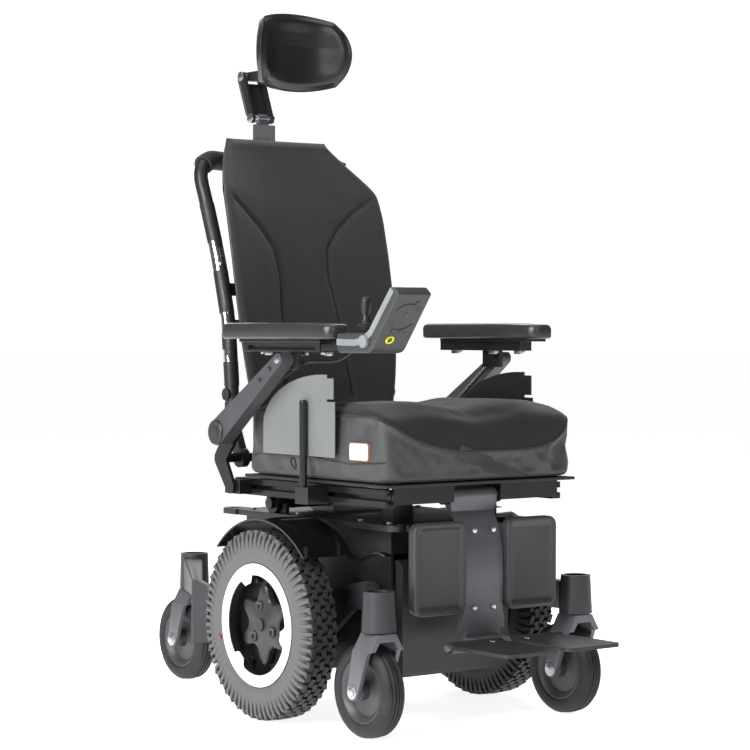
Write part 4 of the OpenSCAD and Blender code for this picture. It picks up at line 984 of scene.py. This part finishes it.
headSet = {"thick": 36, "power": 2.0, "cols": 90, "rows": 70, "middle": 1144.5, "tall": 69, "wide": 100,
           "face": [(1075, 250), (1083, 251), (1099, 252), (1126, 254), (1156, 255), (1182, 254), (1200, 252),
                    (1214, 250)]}


def headOutline(u, w):   # a square from -1 to 1 bent into the pad's rounded outline and hollow face
    s = headSet
    a, b = u * math.sqrt(1 - w * w * 0.38), w * math.sqrt(1 - u * u * 0.30)
    z = s["middle"] + b * s["tall"]
    x = a * (s["wide"] - 5 * max(0, b) ** 2)
    mid = alongLevels(s["face"], z, 1)
    edge = 208 + 10 * smoothStep(abs(b), 0.5, 1.0)
    return x, mid - (mid - edge) * min(1.0, abs(x) / s["wide"]) ** s["power"], z, b


def headrestPad():   # its face and back meet at a soft rim, with a seam round it
    s = headSet
    bm = bmesh.new()
    bmesh.ops.create_grid(bm, x_segments=s["cols"], y_segments=s["rows"], size=1)
    for vert in bm.verts:
        vert.co = Vector((vert.co.x, 0, vert.co.y))
    rear = set(extruded(bm, bm.faces[:]))
    for vert in bm.verts:
        u, w = vert.co.x, vert.co.z
        x, y, z, b = headOutline(u, w)
        near = smoothStep(max(abs(u), abs(w)), 0.72, 1.0)
        if vert in rear:
            vert.co = at(x * (1 - 0.05 * near), y + s["thick"] - 1 - 4 * near ** 2, z - 1.5 * b * near)
        else:
            vert.co = at(x, y + 0.6 + 7 * near ** 2.2, z)
    outwards(bm)
    piece = finished("headrest_pad.look", bm, "headrest_pad", "head_vinyl", "vinyl", ["headrest_pad"],
                     sharp=180)
    even = piece.modifiers.new("even", "SUBSURF")
    even.levels = even.render_levels = 1
    ring = []
    for k in range(121):
        t = 4 * k / 120
        n = int(t) % 4
        f = 2 * (t - int(t)) - 1
        u, w = ((1, f), (-f, 1), (-1, -f), (f, -1))[n]
        x, y, z, b = headOutline(u, w)
        ring.append(at(x * 0.998, y + 9.5, z))
    tube("headrest_seam", ring, 0.0010, "headrest_pad", "head_vinyl", "seamFabric")
    bm = bmesh.new()
    roundBar(bm, at(-13, 394, 1113), at(13, 394, 1113), 0.0085, 28, bevel=0.0008)
    block(bm, at(-11, 286, 1104), at(11, 394, 1122), 0.003)
    block(bm, at(-34, 281, 1090), at(34, 292, 1140), 0.004)
    finished("headrest_stem", bm, "headrest_pad", "head_vinyl", "frameBlack", weighted=True)


headrestPad()
print("headrest made")

# Armrests

padSet = {"x": 216, "w": 66, "y": -26, "l": 312, "z": 631, "t": 28}


def armPad(side):
    s = padSet
    bm = bmesh.new()
    half = Vector((s["w"], s["l"], s["t"])) / 2000
    centre = at(s["x"], s["y"], s["z"] + s["t"] / 2)
    block(bm, centre - half, centre + half, 0.0)
    uprights = edgesAlong(bm, 2)
    rounded(bm, uprights, 0.024, 8)
    for share, size in ((1, 0.011), (0, 0.005)):
        level = (s["z"] + s["t"] * share) / 1000
        rims = [e for e in bm.edges if all(abs(v.co.z - level) < 1e-6 for v in e.verts)]
        rounded(bm, rims, size, 5)
    for step in range(12):
        bmesh.ops.bisect_plane(bm, geom=bm.verts[:] + bm.edges[:] + bm.faces[:], dist=1e-6,
                               plane_co=at(0, s["y"] - 130 + 22 * step, 0), plane_no=(0, 1, 0))
    for vert in bm.verts:
        x, y, z = vert.co.x * 1000 - s["x"], (vert.co.y - axle.y) * 1000 - s["y"], vert.co.z * 1000 - s["z"]
        front = smoothStep(-y, 30, 156)
        vert.co = at(s["x"] + x * (1 - 0.24 * front ** 1.5), s["y"] + y, s["z"] + z * (1 - 0.12 * front))
    outwards(bm)
    name = "arm_pad_" + side
    return [name + ".look", bm, "armrest_" + side, "pad_urethane", "urethane", [name]]


def armTrim(side):   # pivot cap and two screws
    bm = bmesh.new()
    centre = at(246, 138, 472)
    profile = [(0.01, 0), (21, 0), (21, 2.2), (19.5, 3.4), (10.5, 3.4), (10, 4.6), (0.01, 4.9)]
    turned(profile, centre, "X", 48, bm)
    for y, z in ((6, 563), (-24, 582)):
        roundBar(bm, at(246, y, z), at(248.2, y, z), 0.0042, 20, bevel=0.0006)
    return ["arm_cap_" + side, bm, "armrest_" + side, "swing_grey", "capBlack"]


def padClamps(side):
    bm = bmesh.new()
    for y in (-128, -60, 44):
        block(bm, at(199, y - 9, 604), at(204, y + 9, 611), 0.0008)
        roundBar(bm, at(212, y, 606), at(212, y, 611), 0.0045, 6, bevel=0.0006)
    roundBar(bm, at(219.5, -46, 597), at(248.5, -46, 597), 0.006, 24, bevel=0.0008)
    return ["pad_clamps_" + side, bm, "armrest_" + side, "bracket_black", "zinc"]


def armRod(side):
    bm = bmesh.new()
    roundBar(bm, at(216.6, -30, 588), at(216.6, 62, 520), 0.0022, 20)
    for y, z in ((-30, 588), (62, 520)):
        roundBar(bm, at(214.6, y, z), at(219, y, z), 0.005, 24, bevel=0.0006)
    return ["arm_rod_" + side, bm, "armrest_" + side, "bracket_black", "chrome"]


for maker in (armPad, armTrim, padClamps, armRod):
    bothSides(maker)
print("armrests made")

# Joystick

joySet = {"x": -216, "w": 66, "deck": 640, "back": -215, "bend": -295, "tilt": 50, "long": 98, "thick": 22,
          "stick": (-248, 647)}


def joyPoint(along, out, x):   # on the raised display: up its length, and out from its user side
    s = joySet
    a = math.radians(s["tilt"])
    return at(x, s["bend"] - along * math.cos(a) - out * math.sin(a),
              s["deck"] + along * math.sin(a) - out * math.cos(a))


def joystickCase():
    s = joySet
    half = s["w"] / 2
    line = [(s["back"], 616), (-221, 609.5), (-279, 609.5)]
    for k in range(9):   # rounded belly under the bend
        t = math.radians(-90 + (s["tilt"] + 40) * k / 8 * 0.55)
        line.append((-287 - 24 * math.cos(t) - 4, 633.5 + 24 * math.sin(t)))
    tip = joyPoint(s["long"], s["thick"], 0)
    face = joyPoint(s["long"], 5, 0)
    for spot in (tip, face, joyPoint(s["long"] - 4, 0.4, 0), joyPoint(2, 0.4, 0)):
        line.append(((spot.y - axle.y) * 1000, spot.z * 1000))
    line.append((s["back"], s["deck"]))
    bm = bmesh.new()
    slab(bm, line, Vector((s["w"] / 1000, 0, 0)), lambda y, z: at(s["x"] - half, y, z))
    outwards(bm)
    corners = [e for e in bm.edges if e.is_manifold and e.calc_face_angle(0) > 0.7]
    rounded(bm, corners, 0.0035, 3, clamp=True)
    finished("joystick_box.look", bm, "armrest_right", "joystick_case", "joyCase", ["joystick_box"],
             weighted=True)
    bm = bmesh.new()   # tongue under the pad's bracket
    block(bm, at(s["x"] - 8, -216, 613), at(s["x"] + 8, -137, 624), 0.001)
    finished("joystick_tongue", bm, "armrest_right", "bracket_black", "bracketBlack", weighted=True)
    bm = bmesh.new()   # pale trim along the outer edge, from the mount up the display
    rail = [(-217, 627), (-236, 626.5), (-262, 626), (-284, 629)]
    for along in (8, 30, 60, 94):
        spot = joyPoint(along, 6.5, 0)
        rail.append(((spot.y - axle.y) * 1000, spot.z * 1000))
    outline = []
    for i, (y, z) in enumerate(rail):
        before, after = rail[max(0, i - 1)], rail[min(len(rail) - 1, i + 1)]
        way = Vector((after[0] - before[0], after[1] - before[1])).normalized()
        outline.append(((y - way.y * 5.2, z + way.x * 5.2), (y + way.y * 5.2, z - way.x * 5.2)))
    ring = [o[0] for o in outline] + [o[1] for o in reversed(outline)]
    slab(bm, ring, Vector((0.003, 0, 0)), lambda y, z: at(s["x"] - half - 1.6, y, z))
    outwards(bm)
    finished("joystick_trim", bm, "armrest_right", "joystick_case", "joyTrim", sharp=30)
    bm = bmesh.new()   # screen recess's frame on the user's side
    corners = [joyPoint(along, -0.2, s["x"] + x) for along, x in ((14, -26), (84, -26), (84, 26), (14, 26))]
    face = bm.faces.new([bm.verts.new(c) for c in corners])
    bmesh.ops.solidify(bm, geom=[face], thickness=0.0008)
    outwards(bm)
    finished("joystick_screen", bm, "armrest_right", "joystick_case", "shroud", sharp=30)


def joystickUnderside():   # raised arcs, bosses, dark discs painted as the shade inside holes, and the ringed socket on the display's outer face
    s = joySet
    t = s["thick"]
    out = (joyPoint(0, 1, 0) - joyPoint(0, 0, 0)).normalized()

    def under(along):   # the case is a little deeper towards its bend
        return t + 3.2 * (1 - along / s["long"])

    bm = bmesh.new()
    for along, x, r in ((78, 14, 5.5), (26, -9, 4), (26, 5, 4)):
        spot = joyPoint(along, under(along), s["x"] + x)
        roundBar(bm, spot - out * 0.001, spot + out * 0.0012, r / 1000, 28, bevel=0.0004)
    for a0, a1, r in ((30, 150, 26), (200, 330, 24)):   # raised ribs in two arcs
        ribs = []
        for k in range(17):
            a = math.radians(a0 + (a1 - a0) * k / 16)
            along = 52 + r * math.sin(a)
            ribs.append(joyPoint(along, under(along) + 0.3, s["x"] + r * math.cos(a)))
        tube("joystick_rib_%d" % r, ribs, 0.0010, "armrest_right", "joystick_case", "joyCase")
    finished("joystick_bosses", bm, "armrest_right", "joystick_case", "joyCase", sharp=40)
    # painted shade: near-black discs stand for the shaded insides of the holes
    bm = bmesh.new()
    for along, x, r in ((58, 2, 3.2), (28, 13, 2.2), (22, 17, 1.6)):
        spot = joyPoint(along, under(along), s["x"] + x)
        roundBar(bm, spot - out * 0.001, spot + out * 0.0005, r / 1000, 20)
    finished("joystick_hole_shade", bm, "armrest_right", "joystick_case", "shroud", sharp=40)
    bm = bmesh.new()
    spot = joyPoint(9, under(9), s["x"] - 8)
    side = out.cross(Vector((1, 0, 0)))
    angles = [math.tau * k / 40 for k in range(41)]
    ring = [spot + (Vector((math.cos(a), 0, 0)) + side * math.sin(a)) * 0.0062 for a in angles]
    for first, second in zip(ring, ring[1:]):
        roundBar(bm, first + out * 0.0006, second + out * 0.0006, 0.0016, 8)
    finished("joystick_socket_ring", bm, "armrest_right", "joystick_case", "yellow", sharp=60)
    bm = bmesh.new()
    roundBar(bm, spot - out * 0.001, spot + out * 0.0006, 0.0052, 24)
    finished("joystick_socket", bm, "armrest_right", "joystick_case", "shroud", sharp=40)


def joystickStick():
    s = joySet
    y, z = s["stick"]
    centre = at(s["x"], y, z)
    profile = [(0.01, -12), (11, -10), (14.6, -6.2), (14.9, -4.6), (13.4, -3), (15, -1), (13.2, 1.2),
               (14.6, 3), (12.4, 5.6), (13.2, 7.4), (10.4, 10), (8, 15), (5.6, 20), (5.0, 23), (6.6, 25.5),
               (8.2, 36), (8.6, 44), (7.8, 48.6), (5.2, 50.6), (0.01, 51)]
    bm = turned(profile, centre, "Z", 48)
    finished("joystick_stick.look", bm, "joystick_stick", "joystick_rubber", "boot", ["joystick_stick"],
             sharp=50)


joystickCase()
joystickUnderside()
joystickStick()
print("joystick made")

# Headrest bar, canes and small fittings

def headrestFittings():
    bm = bmesh.new()
    for y, z in ((363, 1034), (394, 1113)):
        roundBar(bm, at(-25, y, z), at(25, y, z), 0.0062, 24, bevel=0.0008)
        for x in (-24.2, 24.2):
            roundBar(bm, at(x - 1.2, y, z), at(x + 1.2, y, z), 0.0088, 24, bevel=0.0006)
    finished("headrest_pins", bm, "headrest_link", "bar_silver", "silver", sharp=40)
    bm = bmesh.new()
    for x in (-23.6, 23.2):   # pale edge strips of the link
        slab(bm, [(372, 1040), (376, 1038), (405, 1108), (401, 1111)], Vector((0.0016, 0, 0)),
             lambda y, z: at(x - 0.6, y, z))
    outwards(bm)
    finished("headrest_strips", bm, "headrest_link", "bar_silver", "silver", sharp=30)
    bm = bmesh.new()
    block(bm, at(-16.4, 366, 1041), at(16.4, 372, 1105), 0.0015,
          turn=Matrix.Rotation(math.radians(-21.5), 3, "X"), pivot=at(0, 366, 1041))
    finished("headrest_link_plate", bm, "headrest_link", "link_black", "frameBlack", weighted=True)


caneSet = {"x": 168, "line": [(470, 204), (560, 207), (663, 218), (770, 248), (863, 284), (915, 308)],
           "sleeves": ((486, 520), (548, 590), (612, 640), (675, 748), (800, 868)), "sleeveR": 0.0132,
           "bright": ((590, 612), (640, 675), (748, 800)), "brightR": 0.01275}


def canePoint(z, above=0):   # the middle of the cane at a height
    return at(caneSet["x"], eased(caneSet["line"], z, 1, 14), z + above)


def caneSleeves(side):   # rubber sleeves, with bright tube showing between them
    bm = bmesh.new()
    for low, high in caneSet["sleeves"]:
        steps = max(2, int((high - low) / 8))
        for k in range(steps):
            z0, z1 = low + (high - low) * k / steps, low + (high - low) * (k + 1) / steps
            roundBar(bm, canePoint(z0), canePoint(z1 + 0.5), caneSet["sleeveR"], 24)
    return ["cane_sleeves_" + side, bm, "back", "grip_black", "cableBlack"]


def caneBright(side):
    bm = bmesh.new()
    for low, high in caneSet["bright"]:
        for k in range(4):
            z0, z1 = low + (high - low) * k / 4, low + (high - low) * (k + 1) / 4
            roundBar(bm, canePoint(z0), canePoint(z1, 0.3), caneSet["brightR"], 24)
    return ["cane_tube_" + side, bm, "back", "bar_silver", "chrome"]


headrestFittings()
bothSides(caneSleeves)
bothSides(caneBright)

# Legrest

calfSet = {"x": (43, 149), "z": (190, 339), "y": (-288, -270)}


def calfPad(side):
    s = calfSet
    bm = bmesh.new()
    block(bm, at(s["x"][0], s["y"][0], s["z"][0]), at(s["x"][1], s["y"][1], s["z"][1]), 0.0)
    uprights = edgesAlong(bm, 1)
    rounded(bm, uprights, 0.016, 6)
    outwards(bm)
    front = min(bm.faces, key=lambda f: f.calc_center_median().y)
    bmesh.ops.inset_region(bm, faces=[front], thickness=0.0075, use_even_offset=True)
    bmesh.ops.inset_region(bm, faces=[front], thickness=0.006, depth=-0.0045, use_even_offset=True)
    rims = [e for e in bm.edges if e.is_manifold and e.calc_face_angle(0) > 0.5]
    rounded(bm, rims, 0.0032, 3, clamp=True)
    name = "calf_pad_" + side
    return [name + ".look", bm, name, "calf_grey", "calfGrey", [name]]


def legFittings():
    bm = bmesh.new()
    for x in (-36, 36):   # bright cheeks either side of the footplates' hinge
        block(bm, at(x - 2.5, -350, 130), at(x + 2.5, -318, 152), 0.0015)
        roundBar(bm, at(x - 4, -334, 145), at(x + 4, -334, 145), 0.0075, 24, bevel=0.0008)
    for x in (-20, 20):
        for z in (196, 322):
            roundBar(bm, at(x, -280.5, z), at(x, -276, z), 0.0045, 20, bevel=0.0006)
    finished("legrest_fittings", bm, "legrest", "column_grey", "silver", sharp=40)


bothSides(calfPad)
legFittings()
print("legrest made")

# Base details

def baseDetails():
    bm = bmesh.new()
    for x in (-130, 130):
        for y in (-196, -120, 60, 196):
            roundBar(bm, at(x, y, 331.5), at(x, y, 335.5), 0.0055, 6, bevel=0.0006)
    finished("deck_bolts", bm, "base", "frame_black", "zinc", sharp=40)


baseDetails()
print("base details made")

makeCamera()
makeLights()
floorMesh = bmesh.new()
bmesh.ops.create_grid(floorMesh, x_segments=1, y_segments=1, size=stageSet["size"])
floorData = bpy.data.meshes.new("floor")
floorMesh.to_mesh(floorData)
floorMesh.free()
floor = linked("floor", floorData)
floorLook = Recipe("floorPale", (0.9, 0.9, 0.9), 0.6, Emission_Color=(1, 1, 1, 1),
                   Emission_Strength=stageSet["floorGlow"])
floor.data.materials.append(floorLook.material)
